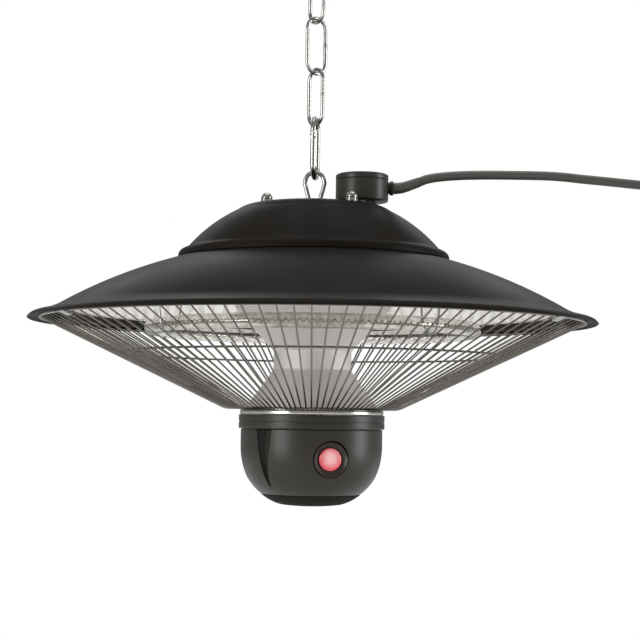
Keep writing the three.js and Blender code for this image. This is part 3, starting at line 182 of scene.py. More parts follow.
def smoothPath(points, perStep):
    # uniform Catmull-Rom curve through the points
    p = np.array(points, float)
    p = np.vstack([2 * p[0] - p[1], p, 2 * p[-1] - p[-2]])
    a, b, c, d = p[:-3], p[1:-2], p[2:-1], p[3:]
    t = np.linspace(0, 1, perStep, endpoint=False)[None, :, None]
    a, b, c, d = (q[:, None, :] for q in (a, b, c, d))
    cubic = 3 * b - a - 3 * c + d
    q = 0.5 * (2 * b + (c - a) * t + (2 * a - 5 * b + 4 * c - d) * t ** 2 + cubic * t ** 3)
    return np.vstack([q.reshape(-1, p.shape[1]), p[-2:-1]])


def tubeGrid(path, radius, sides, up, closed=False):
    # a ring of points square to the path at each of its points
    p = np.asarray(path, float)
    if closed:
        along = np.roll(p, -1, 0) - np.roll(p, 1, 0)
    else:
        along = np.gradient(p, axis=0)
    along /= np.linalg.norm(along, axis=1)[:, None]
    side = np.cross(along, np.broadcast_to(up, p.shape))
    side /= np.linalg.norm(side, axis=1)[:, None]
    top = np.cross(side, along)
    angle = fullTurn(sides)
    radius = np.broadcast_to(radius, (len(p),))[:, None, None]
    c, s = np.cos(angle)[None, :, None], np.sin(angle)[None, :, None]
    return p[:, None, :] + radius * (c * side[:, None, :] + s * top[:, None, :])


flatEnd = {"lift": 0.02, "shrink": [0.97, 0.9, 0.6, 0.3, 0.0]}  # shares of the tube's radius


def tube(name, path, radius, sides, up=(0, 1, 0), closed=False, domed=False):
    # an open tube's ends close in five shrinking rings: flat, or a half round when domed
    path = np.asarray(path, float)
    radius = np.broadcast_to(np.asarray(radius, float), (len(path),)).copy()
    if not closed:
        steps = np.linspace(0, math.pi / 2, 6)[1:]
        first, last = path[0] - path[1], path[-1] - path[-2]
        first, last = first / np.linalg.norm(first), last / np.linalg.norm(last)
        lift = np.sin(steps) * (1 if domed else flatEnd["lift"])
        shrink = np.cos(steps) if domed else np.array(flatEnd["shrink"])
        head = path[0] + first * (lift * radius[0])[:, None]
        foot = path[-1] + last * (lift * radius[-1])[:, None]
        path = np.vstack([head[::-1], path, foot])
        radius = np.concatenate([(shrink * radius[0])[::-1], radius, shrink * radius[-1]])
    return surface(name, tubeGrid(path, radius, sides, up, closed), closed, True)


def level(radius, t, z, centre=(0, 0)):
    # points at the angles t, all at the height z, at one radius or at a radius for each angle
    x, y = centre[0] + radius * np.cos(t), centre[1] + radius * np.sin(t)
    return np.stack([x, y, np.full(len(t), z)], -1)


def turnAbout(points, angle):
    # the points turned by angle degrees about the heater's axis
    c, s = math.cos(angle * degree), math.sin(angle * degree)
    p = np.array(points, float)
    x, y = p[..., 0].copy(), p[..., 1].copy()
    p[..., 0] = c * x - s * y
    p[..., 1] = s * x + c * y
    return p


def cutWith(obj, tool):
    # the solid of tool is taken away from obj, and tool is dropped
    cut = obj.modifiers.new("cut", "BOOLEAN")
    cut.operation = "DIFFERENCE"
    cut.solver = "EXACT"
    cut.object = tool
    bpy.context.view_layer.update()
    evaluated = obj.evaluated_get(bpy.context.evaluated_depsgraph_get())
    made = bpy.data.meshes.new_from_object(evaluated)
    obj.modifiers.clear()
    obj.data = made
    bpy.data.objects.remove(tool)
    return finishMesh(obj)


def place(obj, body, slotName, finish, *replaced):
    # the piece's finish, the body that it rides on, and the solids that it stands for;
    # slotName is not used
    obj.data.materials.clear()
    obj.data.materials.append(finish)
    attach(obj, body)
    if replaced:
        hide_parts(*replaced)
    return obj


def turnedPiece(name, profile, sides, slotName, finish, replaced, centre=(0, 0)):
    # a turned part of the heater that stands for one of its solids
    return place(turned(name, profile, sides, centre), "heater", slotName, finish, replaced)


def linear(hexText):
    # sRGB hex to linear colour
    rgb = [int(hexText[i:i + 2], 16) / 255 for i in (1, 3, 5)]
    rgb = [c / 12.92 if c <= 0.04045 else ((c + 0.055) / 1.055) ** 2.4 for c in rgb]
    return (*rgb, 1.0)


def linkInputs(tree, node, links):
    # links: input name or number to output socket
    for key, socket in links.items():
        tree.links.new(socket, node.inputs[key])


def addNode(tree, kind, settings=None, links=None, output=0):
    # settings: attributes or input values; the result is the node's output socket of that name or number
    node = tree.nodes.new(kind)
    for key, value in (settings or {}).items():
        if isinstance(key, str) and hasattr(node, key):
            setattr(node, key, value)
        else:
            node.inputs[key].default_value = value
    linkInputs(tree, node, links or {})
    return node.outputs[output]


def newMaterial(name, settings):
    # a shader with these input values, and the object coordinates that its patterns read
    material = bpy.data.materials.new(name)
    material.use_nodes = True
    tree = material.node_tree
    shader = tree.nodes["Principled BSDF"]
    for key, value in settings.items():
        shader.inputs[key].default_value = value
    return material, tree, shader, addNode(tree, "ShaderNodeTexCoord", output="Object")


noiseSpan = {"From Min": 0.3, "From Max": 0.7}  # noise keeps mostly between these


def grained(name, settings, tint, cloud, grain, rough=None, roughBy="grain", bump=(0.05, 0.0002),
            tone=(0, 1), stretch=(1, 1, 1)):
    # cloud and grain are noises given by scale and detail, one patch every 1 / scale metres: the colour goes
    # from tint to tint as the cloud goes over tone, the roughness goes over rough with the noise named in
    # roughBy, and the height is the grain times bump's strength and distance
    material, tree, shader, at = newMaterial(name, settings)
    at = addNode(tree, "ShaderNodeMapping", {"Scale": stretch}, {"Vector": at})
    noises = {key: addNode(tree, "ShaderNodeTexNoise", {"Scale": scale, "Detail": detail}, {"Vector": at})
              for key, (scale, detail) in (("cloud", cloud), ("grain", grain))}
    limits = {"From Min": tone[0], "From Max": tone[1]}
    share = addNode(tree, "ShaderNodeMapRange", limits, {"Value": noises["cloud"]})
    tints = {"data_type": "RGBA", 6: linear(tint[0]), 7: linear(tint[1])}
    lift = {"Strength": bump[0], "Distance": bump[1]}
    linkInputs(tree, shader, {
        "Base Color": addNode(tree, "ShaderNodeMix", tints, {0: share}, 2),
        "Normal": addNode(tree, "ShaderNodeBump", lift, {"Height": noises["grain"]})})
    if rough:
        limits = {**noiseSpan, "To Min": rough[0], "To Max": rough[1]}
        uneven = addNode(tree, "ShaderNodeMapRange", limits, {"Value": noises[roughBy]})
        linkInputs(tree, shader, {"Roughness": uneven})
    return material


def mouldedBlack(name="mouldedBlack", tint=("#312E2A", "#37342F"), rough=(0.32, 0.4), grain=900, sheen=0.24):
    # glass-filled nylon out of a spark-eroded mould, whose grain softens the shine; the real grain is finer
    # and is drawn 1 to 2 mm wide here so that it shows
    settings = {"IOR": 1.5, "Specular IOR Level": sheen}
    return grained(name, settings, tint, (20, 2), (grain, 2), rough)


def flutedBlackPaintedShade():
    # the bowl's nylon is the same, but its flute is drawn near-black with almost no sheen:
    # painted shade in the groove
    material = mouldedBlack("flutedBlackPaintedShade")
    tree = material.node_tree
    shader = tree.nodes["Principled BSDF"]
    deep = addNode(tree, "ShaderNodeAttribute", {"attribute_name": "flute"}, output="Fac")
    plain = shader.inputs["Base Color"].links[0].from_socket
    dark = {"data_type": "RGBA", 7: linear("#171513")}
    sheens = {"To Min": shader.inputs["Specular IOR Level"].default_value, "To Max": 0.02}
    linkInputs(tree, shader, {
        "Base Color": addNode(tree, "ShaderNodeMix", dark, {0: deep, 6: plain}, 2),
        "Specular IOR Level": addNode(tree, "ShaderNodeMapRange", sheens, {"Value": deep})})
    return material


def platedSteel(name, tint, rough, scale, bump=0.02):
    # plated steel wire and turned parts: bright, with faint drawing marks and a slightly uneven plating
    return grained(name, {"Metallic": 1.0}, tint, (scale, 3), (scale, 3), rough, bump=(bump, 0.0003))


def plainMatte(name, tint, rough, scale, bump=0.15):
    # ceramics, board, sleeve and rubber: a fine mottle in colour and height, no shine
    return grained(name, {"Roughness": rough, "IOR": 1.5}, tint, (scale, 3), (scale, 3), bump=(bump, 0.0002))


def hammeredAluminium():
    # bright aluminium sheet rolled with a hammered pattern of shallow dimples about 7 mm apart
    material, tree, shader, at = newMaterial("hammeredAluminium", {"Metallic": 1.0, "Roughness": 0.24})
    dimples = {"feature": "SMOOTH_F1", "Scale": 140, "Smoothness": 0.8}
    cells = addNode(tree, "ShaderNodeTexVoronoi", dimples, {"Vector": at})
    cloud = addNode(tree, "ShaderNodeTexNoise", {"Scale": 25, "Detail": 3}, {"Vector": at})
    tints = {"data_type": "RGBA", 6: linear("#DEDBD6"), 7: linear("#F1EFEC")}
    lift = {"Strength": 0.22, "Distance": 0.0014}
    linkInputs(tree, shader, {
        "Base Color": addNode(tree, "ShaderNodeMix", tints, {0: cloud}, 2),
        "Normal": addNode(tree, "ShaderNodeBump", lift, {"Height": cells})})
    return material


lens = {"uneven": 0.2, "paleTo": 0.35, "redFrom": 0.95}  # shares of the button's radius


def redLens(l, centre, radius):
    # translucent red polycarbonate, polished, with a painted glow: pale pink where light comes through,
    # red towards its edge; the fade runs over the distance from the centre, made uneven by a noise
    material, tree, shader, at = newMaterial("redLens", {
        "IOR": 1.58, "Roughness": 0.24, "Subsurface Weight": 0.25, "Subsurface Scale": 0.003,
        "Subsurface Radius": (1.0, 0.35, 0.35)})
    offset = addNode(tree, "ShaderNodeVectorMath", {"operation": "SUBTRACT", 1: centre}, {0: at})
    reach = addNode(tree, "ShaderNodeVectorMath", {"operation": "LENGTH"}, {0: offset}, "Value")
    cloud = addNode(tree, "ShaderNodeTexNoise", {"Scale": 420, "Detail": 3}, {"Vector": at})
    uneven = l["uneven"] * radius
    centred = {"operation": "MULTIPLY_ADD", 1: 2 * uneven, 2: -uneven}
    wobble = addNode(tree, "ShaderNodeMath", centred, {0: cloud})
    edge = addNode(tree, "ShaderNodeMath", {"operation": "ADD"}, {0: reach, 1: wobble})
    limits = {"From Min": l["paleTo"] * radius, "From Max": l["redFrom"] * radius}
    fade = addNode(tree, "ShaderNodeMapRange", limits, {"Value": edge})
    tints = {"data_type": "RGBA", 6: linear("#FFC3C3"), 7: linear("#E85664")}
    lift = {"Strength": 0.08, "Distance": 0.0003}
    linkInputs(tree, shader, {
        "Base Color": addNode(tree, "ShaderNodeMix", tints, {0: fade}, 2),
        "Normal": addNode(tree, "ShaderNodeBump", lift, {"Height": cloud})})
    return material


# matt stove enamel on pressed steel: an even, warm near-black, little shine, orange peel 1.5 mm across
enamel = grained("satinEnamel", {"IOR": 1.5, "Specular IOR Level": 0.02}, ("#1D1A17", "#211E1B"), (14, 3),
                 (650, 2), (0.36, 0.44), "cloud", (0.06, 0.0002), tone=(0.35, 0.65))
# satin spun aluminium: faint rings round the axis, one every 0.8 mm of height, over a soft sheen
spun = grained("spunAluminium", {"Metallic": 1.0}, ("#DDDAD5", "#ECEAE6"), (1, 2), (1, 2), (0.68, 0.75),
               bump=(0.03, 0.0002), stretch=(3, 3, 1250))
# clear drawn quartz tube, its wall a little uneven in ripples about 6 mm wide
quartz = grained("quartzGlass", {"IOR": 1.46, "Roughness": 0.02, "Transmission Weight": 1.0},
                 ("#DDDBD5", "#FBFAF6"), (160, 2), (160, 2), bump=(0.04, 0.0006), tone=(0.35, 0.65))
hammered = hammeredAluminium()
moulded = mouldedBlack()
plugPlastic = mouldedBlack("plugPlastic", ("#2B2926", "#33302C"), (0.4, 0.5), 700)
# painted shade: the downward-facing cap gets a darker tint and little sheen for the shade under the heater;
# its higher roughness is the blasted finish
shadedBlastedBlack = mouldedBlack("shadedBlastedBlack", ("#211F1C", "#282622"), (0.6, 0.7), 500, 0.03)
chainSteel = platedSteel("nickelPlatedSteel", ("#A09E9A", "#AAA8A4"), (0.2, 0.26), 90, 0.0)
zincSteel = platedSteel("zincPlatedSteel", ("#8E8F8E", "#B5B6B4"), (0.3, 0.45), 300)
trimSteel = platedSteel("polishedTrim", ("#C8C6C2", "#E2E0DC"), (0.14, 0.22), 90)
guardSteel = platedSteel("smokedWire", ("#6B6760", "#746F69"), (0.16, 0.2), 60, 0.0)
tungsten = platedSteel("tungstenWire", ("#6E6B66", "#93908A"), (0.35, 0.5), 900)
brass = platedSteel("turnedBrass", ("#B4904A", "#D2B06A"), (0.22, 0.34), 300)
ceramic = plainMatte("steatiteCeramic", ("#DCD7C9", "#EDE9DF"), 0.6, 400)
boardGreen = plainMatte("circuitBoard", ("#24523B", "#2F664A"), 0.45, 300)
sleeveWhite = plainMatte("glassSleeve", ("#CFCABC", "#E6E2D7"), 0.85, 900, 0.5)
cableRubber = plainMatte("cableRubber", ("#4A4843", "#55534D"), 0.42, 500)
print("materials made")


camera = {
    "place": (0.0053, -1.1915, -0.3667),  # the heater's axis stands at pixel 313 of 640
    "focalPixels": 1583, "width": 640, "horizonRow": 415, "roll": 0.72, "sensor": 36, "nearest": 0.02,
}


def setCamera(c):
    # pitch = arc tangent of (horizon row - middle row) / focal length, both in pixels
    data = bpy.data.cameras.new("camera")
    data.sensor_width = c["sensor"]
    data.lens = c["sensor"] * c["focalPixels"] / c["width"]
    data.clip_start = c["nearest"]
    obj = bpy.data.objects.new("camera", data)
    bpy.context.scene.collection.objects.link(obj)
    obj.location = c["place"]
    pitch = math.atan((c["horizonRow"] - c["width"] / 2) / c["focalPixels"])
    roll = c["roll"] * degree
    obj.rotation_mode = "QUATERNION"
    obj.rotation_quaternion = Quaternion((1, 0, 0), math.pi / 2 + pitch) @ Quaternion((0, 0, 1), roll)
    bpy.context.scene.camera = obj


setCamera(camera)


studio = {
    "floorZ": -1.15, "floorSize": 8.0, "worldLight": 0.36,
    "lamps": [  # name, place, aim, width, height, watts
        ("leftBox", (-1.35, -1.15, -0.15), (0, 0, -0.3), 0.6, 1.2, 21),
        ("rightBox", (1.6, -0.15, -0.15), (0, 0, -0.3), 0.6, 1.2, 20),
        ("topBox", (0.1, 0.2, 1.3), (0, 0, -0.25), 1.2, 1.2, 9),
        ("backBox", (0, 1.7, 0.75), (0, 0, -0.2), 2.6, 0.4, 7),
    ],
}


def whiteForCamera(tree, target, plain):
    # camera and glass rays see white, mirror rays only on the floor, and the object still gets soft light
    rays = addNode(tree, "ShaderNodeLightPath").node.outputs
    larger = {"operation": "MAXIMUM"}
    direct = {0: rays["Is Camera Ray"], 1: rays["Is Transmission Ray"]}
    seen = addNode(tree, "ShaderNodeMath", larger, direct)
    if target == "floor":
        seen = addNode(tree, "ShaderNodeMath", larger, {0: seen, 1: rays["Is Glossy Ray"]})
    kind = "ShaderNodeBackground" if target == "world" else "ShaderNodeEmission"
    white = addNode(tree, kind, {"Color": (1, 1, 1, 1), "Strength": 1.0})
    return addNode(tree, "ShaderNodeMixShader", None, {0: seen, 1: plain, 2: white})


def setStudio(s):
    # white paper floor, weak white world, and soft boxes that each face their aim
    scene = bpy.context.scene
    scene.view_settings.view_transform = "Standard"
    world = bpy.data.worlds.new("studio")
    scene.world = world
    world.use_nodes = True
    tree = world.node_tree
    soft = tree.nodes["Background"]
    soft.inputs["Color"].default_value = (1, 1, 1, 1)
    soft.inputs["Strength"].default_value = s["worldLight"]
    tree.links.new(whiteForCamera(tree, "world", soft.outputs[0]), tree.nodes["World Output"].inputs[0])
    half = s["floorSize"] / 2
    corners = np.array([(-half, -half, 0), (half, -half, 0), (half, half, 0), (-half, half, 0)])
    floor = meshFrom("studioFloor", corners + (0, 0, s["floorZ"]), np.array([[0, 1, 2, 3]]))
    paper = {"Base Color": (0.8, 0.8, 0.8, 1), "Roughness": 0.9}
    paint, tree, shader = newMaterial("studioPaper", paper)[:3]
    tree.links.new(whiteForCamera(tree, "floor", shader.outputs[0]),
                   tree.nodes["Material Output"].inputs["Surface"])
    floor.data.materials.append(paint)
    for name, at, aim, width, height, watts in s["lamps"]:
        data = bpy.data.lights.new(name, "AREA")
        data.shape = "RECTANGLE"
        data.size, data.size_y = width, height
        data.energy = watts
        lamp = bpy.data.objects.new(name, data)
        scene.collection.objects.link(lamp)
        lamp.location = at
        lamp.rotation_euler = (Vector(aim) - Vector(at)).to_track_quat("-Z", "Y").to_euler()


setStudio(studio)
print("camera and studio made")


cable = {
    "radius": 3.5, "y": 4.0, "exit": (60.3, 4.0, 104.6), "lead": (0.3, 7),
    "route": [(95.7, 113.8), (111.2, 115.1), (131, 115.7), (152, 115.8), (172.5, 115.7), (188, 115.0),
              (203.3, 113.5), (224, 111.7), (244.6, 109.8), (262, 108.0)],
    "coilX": 293, "meanRadius": 36.5, "layers": 4, "pitch": 7.6, "turns": 6.235, "entry": 5.5,
    "tail": 45, "tailStart": 6,
}


def coilCentre(c):
    # the coil's middle hangs below the point where the cable meets it, square to the cable
    entry = c["entry"] * degree
    outer = c["meanRadius"] + c["pitch"] * c["turns"] / c["layers"] / 2
    endX, endZ = c["route"][-1]
    meetX = c["coilX"] + outer * math.sin(entry) - 2 * c["radius"] * math.cos(entry)
    reach = c["coilX"] + outer * math.sin(entry) - 2 * c["radius"] - endX
    meetZ = endZ - reach * math.tan(entry)
    return outer, (meetX, meetZ), meetZ - 2 * c["radius"] * math.sin(entry) - outer * math.cos(entry)


def coilPath(c, perTurn=36):
    # radius runs in and out at a steady rate, a layer is climbed in the half turn at each reversal
    outer, meet, centreZ = coilCentre(c)
    perLayer = c["turns"] / c["layers"]
    turn = np.linspace(0, c["turns"], int(c["turns"] * perTurn) + 1)
    phase = turn / perLayer
    radius = outer - c["pitch"] * perLayer * np.abs(phase - 2 * np.round(phase / 2))
    layer = sum(np.clip(2 * (turn - k * perLayer) + 0.5, 0, 1) for k in range(1, c["layers"]))
    angle = 2 * math.pi * turn + c["entry"] * degree
    points = np.stack([c["coilX"] + radius * np.sin(angle), c["y"] - layer * c["pitch"],
                       centreZ + radius * np.cos(angle)], -1)
    return points, meet


sleeve = {"length": 20, "lean": 20, "thick": 4.4, "thin": 3.75}


def sleevePath(s, c, count=60):
    # runs out level, bends up evenly over the first half of its length, then runs on straight
    t = (np.arange(count) + 0.5) / count
    lean = np.minimum(2 * s["lean"] * t, s["lean"]) * degree
    x = np.concatenate([[0], np.cumsum(np.cos(lean)) * s["length"] / count])
    z = np.concatenate([[0], np.cumsum(np.sin(lean)) * s["length"] / count])
    return np.stack([c["exit"][0] + x, np.full(count + 1, c["y"]), c["exit"][2] + z], -1)


def cablePath(c):
    # a straight bit out of the sleeve, a smooth curve through the route, the coil, and a tail straight down
    coil, meet = coilPath(c)
    end = sleevePath(sleeve, c)[-1]
    lean = sleeve["lean"] * degree
    first = [(end[0] + on * math.cos(lean), end[2] + on * math.sin(lean)) for on in c["lead"]]
    lead = smoothPath([(x, c["y"], z) for x, z in [*first, *c["route"], meet]], 4)
    tailLength = 2 * c["radius"] + c["tail"]
    down = coil[-1] + np.array([[0, 0, -t] for t in np.linspace(c["tailStart"], tailLength, 8)])
    return np.vstack([lead, coil, down])


def makeCable(c):
    # a round cord carried along its path; its length is the sum of the path's steps
    path = cablePath(c)
    cord = tube("mains_cable", path, c["radius"], 14)
    place(cord, "heater", "black_rubber", cableRubber, "cord_lead", "cord_coil", "cord_tail")
    length = float(np.linalg.norm(np.diff(path, axis=0), axis=1).sum()) * mm
    return cord, path, length


cordPiece, cordRoute, cordLength = makeCable(cable)


def makeSleeve(s, c):
    # a tapered sleeve that bends upwards, its radius falling smoothly to the cable's
    path = sleevePath(s, c)
    t = np.linspace(0, 1, len(path))
    radius = s["thick"] + (s["thin"] - s["thick"]) * t
    boot = tube("cable_boot", path, radius, 28)
    place(boot, "heater", "black_rubber", cableRubber, "cable_sleeve")


makeSleeve(sleeve, cable)


plug = {
    "length": 38, "face": 18, "faceThick": 9, "faceRounds": [0, 1.6, 2.4, 0], "slope": 3.5,
    "grip": 11, "rings": 9, "ring": 0.7, "ringsLow": 6, "ringsHigh": 11,
    "taper": [(9.5, 7), (6.8, 1.5), (5.4, 0), (0, 0)],  # radius, depth below the top
    "pin": 2.4, "pinLength": 19, "pinHalf": 9.5, "gap": 0.3,
}


def makePlug(p, end):
    # a turned moulding: round face, waisted grip with shallow rings, neck on the cable
    top = end[2] - p["gap"]
    low = top - p["length"]
    step = low + p["faceThick"]
    face = filleted([(0, low), (p["face"], low), (p["face"], step), (p["grip"] + 1, step + p["slope"])],
                    p["faceRounds"], 4)
    heights = np.linspace(step + p["ringsLow"], top - p["ringsHigh"], p["rings"])
    grip = [(p["grip"] + p["ring"] * (i % 2), z) for i, z in enumerate(heights)]
    taper = [(radius, top - depth) for radius, depth in p["taper"]]
    body = turned("plug_moulding", face + grip + taper, 72, (end[0], end[1]), 40)
    place(body, "heater", "black_rubber", plugPlastic, "plug_body")
    pins = []
    for name, side in (("plug_pin_1", -1), ("plug_pin_2", 1)):
        path = [(end[0] + side * p["pinHalf"], end[1], z)
                for z in np.linspace(low + p["faceThick"] / 2, low - p["pinLength"] + p["pin"], 12)]
        pin = tube(name.replace("plug_pin", "plug_prong"), path, p["pin"], 20, domed=True)
        pins.append(place(pin, "heater", "brass", brass, name))
    return [body, *pins]


tie = {"wide": 10, "thick": 1.2, "slack": 0.6, "round": 3.4, "shown": 0.9}


def makeTie(s, c):
    # a strap round the whole bundle of turns, at the coil's lowest point, drawn a little thinner than it is
    outer, _, centreZ = coilCentre(c)
    slack = c["radius"] + s["slack"] + s["thick"] / 2
    high = centreZ - outer + c["pitch"] * c["turns"] / c["layers"] + slack
    low = centreZ - outer - slack
    near = c["y"] - (c["layers"] - 1) * c["pitch"] - slack
    far = c["y"] + slack
    loop = np.array(filleted([(near, low), (far, low), (far, high), (near, high)], [s["round"]] * 4, 6))
    width = np.array([(-1, 0.5), (1, 0.5), (1, -0.5), (-1, -0.5)])
    centre = loop.mean(0)
    out = (loop - centre) / np.linalg.norm(loop - centre, axis=1)[:, None]
    grid = np.empty((len(loop), 4, 3))
    grid[..., 0] = c["coilX"] + width[None, :, 0] * s["wide"] / 2
    grid[..., 1:] = loop[:, None, :] + out[:, None, :] * width[None, :, 1, None] * s["thick"] * s["shown"]
    return place(surface("cable_tie", grid, True, True), "heater", "black_rubber", cableRubber, "coil_tie")


plugPieces = makePlug(plug, cordRoute[-1])
tiePiece = makeTie(tie, cable)
tuple(toWorld(np.array(cable["exit"])))
[tuple(p) for p in toWorld(cordRoute)]
print("cable made, metres:", round(cordLength, 3))


chain = {
    "wire": 1.45, "length": 45.5, "width": 20, "pitch": 39.4, "lowest": 151.85, "turns": (-53, 37),
    "weld": 0.22, "weldReach": 1.6,
}


def stadiumPath(width, low, high, steps, straight):
    # two half circles joined by straight sides, standing in the plane y = 0
    radius = width / 2
    t = np.linspace(0, math.pi, steps)
    top = np.stack([radius * np.cos(t), 0 * t, high - radius + radius * np.sin(t)], -1)
    foot = np.stack([-radius * np.cos(t), 0 * t, low + radius - radius * np.sin(t)], -1)
    s = np.linspace(0, 1, straight + 2)[1:-1, None]
    left = top[-1] + (foot[0] - top[-1]) * s
    right = foot[-1] + (top[0] - foot[-1]) * s
    return np.vstack([top, left, foot, right])


def makeLinks(c):
    # wire loops; at the weld on one side the wire is thicker by weld * exp(-(height over it / weldReach)^2)
    for i in range(3):
        low = c["lowest"] + i * c["pitch"]
        high = low + c["length"] - 2 * c["wire"]
        path = stadiumPath(c["width"] - 2 * c["wire"], low, high, 20, 24)
        middle = (low + high) / 2
        swell = c["weld"] * np.exp(-((path[:, 2] - middle) / c["weldReach"]) ** 2) * (path[:, 0] > 0)
        grid = tubeGrid(path, c["wire"] + swell, 18, (0, 1, 0), True)
        grid = turnAbout(grid, c["turns"][i % 2])
        name = "link_%d" % (3 - i)
        obj = surface("chain_" + name + "_wire", grid, True, True)
        place(obj, name, "bright_steel", chainSteel, "chain_" + name)


hook = {
    "wire": 2.1, "side": 9.9, "low": 111.6, "length": 49, "turn": 81, "gateLow": 14.5, "gateHigh": 31.5,
    "gap": 0.3, "slot": 0.9, "shoulder": 1.1, "taper": 0.4, "tongue": 4.4, "tongueUp": 3.6,
    "tongueWide": 0.82, "cheekUp": 0.8, "rivet": 0.918, "rivetOver": 0.1,
}


capShares = (0.0, 0.55, 0.92)  # sizes of the rings that close a flat end, as shares of the last one


def capped(grid):
    # flat ends: the last ring shrinks to its middle
    first, last = grid[0].mean(0), grid[-1].mean(0)
    rings = [first + (grid[0] - first) * s for s in capShares]
    rings += list(grid)
    rings += [last + (grid[-1] - last) * s for s in capShares[::-1]]
    return np.array(rings)


def cheekGrid(h, foot, side):
    # the part of a round section that lies outside the slot, carried up along the slot:
    # half its width = root of (wire squared - half slot squared)
    low = foot + h["gateHigh"] + h["gap"]
    z = np.linspace(low, foot + h["gateHigh"] + h["tongue"] + h["cheekUp"], 14)
    angle = np.linspace(0, math.pi, 15)
    inner = h["slot"] + h["gap"]
    half = math.sqrt(h["wire"] ** 2 - inner ** 2)
    x = np.clip(np.cos(angle) * h["wire"], -half, half)
    y = np.maximum(np.sin(angle) * h["wire"], inner)
    grid = np.empty((len(z), len(angle), 3))
    grid[..., 0] = x - h["side"]
    grid[..., 1] = side * y
    grid[..., 2] = z[:, None]
    return capped(grid)


def makeHook(h):
    # a long wire loop, open along one side from the gate's foot to its rivet, a cheek on either side there
    foot = h["low"] - h["wire"]
    loop = stadiumPath(2 * h["side"], h["low"], foot + h["length"] - h["wire"], 40, 60)
    within = -h["side"] + 1e-6
    low = foot + h["gateLow"] - h["gap"]
    high = foot + h["gateHigh"] + h["gap"]
    inMouth = (loop[:, 0] < within) & (loop[:, 2] > low) & (loop[:, 2] < high)
    start = np.where(inMouth)[0][-1] + 1
    path = np.roll(loop, -start, 0)[:len(loop) - inMouth.sum()]
    nose = np.array([-h["side"], 0, low])
    root = np.array([-h["side"], 0, foot + h["gateHigh"] + h["tongue"] + h["gap"]])
    path = path[(path[:, 0] > within) | (path[:, 2] < nose[2]) | (path[:, 2] > root[2])]
    grid = tubeGrid(np.vstack([nose, path, root]), h["wire"], 22, (0, 1, 0))
    body = surface("hook_wire", turnAbout(capped(grid), h["turn"]), False, True)
    place(body, "snap_hook", "bright_steel", chainSteel, "snap_hook_body")
    for number, side in ((1, -1), (2, 1)):
        grid = turnAbout(cheekGrid(h, foot, side), h["turn"])
        cheek = surface("hook_cheek_%d" % number, grid, False, True)
        place(cheek, "snap_hook", "bright_steel", chainSteel)


def makeGate(h):
    # a round bar whose flat tongue runs up between the cheeks to its rivet
    foot = h["low"] - h["wire"]
    barTop = foot + h["gateHigh"] - h["gap"] - h["shoulder"]
    bar = np.linspace(foot + h["gateLow"], barTop, 24)
    tongue = np.linspace(barTop + h["taper"], foot + h["gateHigh"] + h["tongueUp"], 12)
    z = np.concatenate([bar, tongue])[:, None]
    angle = fullTurn(28)[None, :]
    x = np.cos(angle) * h["wire"] * np.ones(z.shape)
    y = np.sin(angle) * h["wire"] * np.ones(z.shape)
    x[len(bar):] *= h["tongueWide"]
    y[len(bar):] = np.clip(y[len(bar):], -h["slot"], h["slot"])
    grid = np.stack([x - h["side"], y, np.broadcast_to(z, x.shape)], -1)
    gate = surface("gate_bar", turnAbout(capped(grid), h["turn"]), False, True)
    place(gate, "gate", "bright_steel", chainSteel, "snap_hook_gate")
    rivetZ = foot + h["gateHigh"] + h["tongue"] / 2
    reach = h["wire"] + h["rivetOver"]
    path = np.array([(-h["side"], t, rivetZ) for t in np.linspace(-reach, reach, 12)])
    pin = tube("gate_rivet", turnAbout(path, h["turn"]), h["rivet"], 20, (0, 0, 1))
    place(pin, "snap_hook", "zinc_steel", zincSteel, "snap_gate_pin")


makeLinks(chain)
makeHook(hook)
makeGate(hook)


eye = {"wire": 1.6, "top": 115.6, "half": 7.3, "waist": 4.2, "foot": 83.2, "dome": 89.3}


def makeEye(e):
    # one bent wire, onion-shaped, its two legs close together where they enter the dome
    shoulder = e["top"] - e["half"]
    middle = (e["dome"] + shoulder) / 2
    half = [(-e["waist"], 0, e["foot"]), (-e["waist"], 0, (e["foot"] + e["dome"]) / 2),
            (-e["waist"], 0, (e["dome"] + middle) / 2),
            (-(e["half"] + e["waist"]) / 2 - e["wire"] / 2, 0, (middle + shoulder) / 2),
            (-e["half"], 0, shoulder),
            (-e["half"] * math.sqrt(0.5), 0, shoulder + e["half"] * math.sqrt(0.5))]
    path = half + [(0, 0, e["top"])] + [(-x, y, z) for x, y, z in half[::-1]]
    obj = tube("eye_wire", smoothPath(path, 8), e["wire"], 18)
    place(obj, "heater", "bright_steel", chainSteel, "lifting_eye")


ceiling = {
    "wire": 1.8, "loop": 8, "loopZ": 277.7, "loopTurn": (70, -210), "bossLow": 288.7, "shank": (6.7, 3, -1),
    "bossHigh": 6, "boss": 7, "bore": 7, "clear": 0.3, "plate": 25, "thick": 4, "turn": 37,
    "rounds": [0, 0.4, 0.8, 0.8, 2, 0.8, 0.2, 0, 0], "hole": 2.3, "holeX": 16, "through": 2,
}


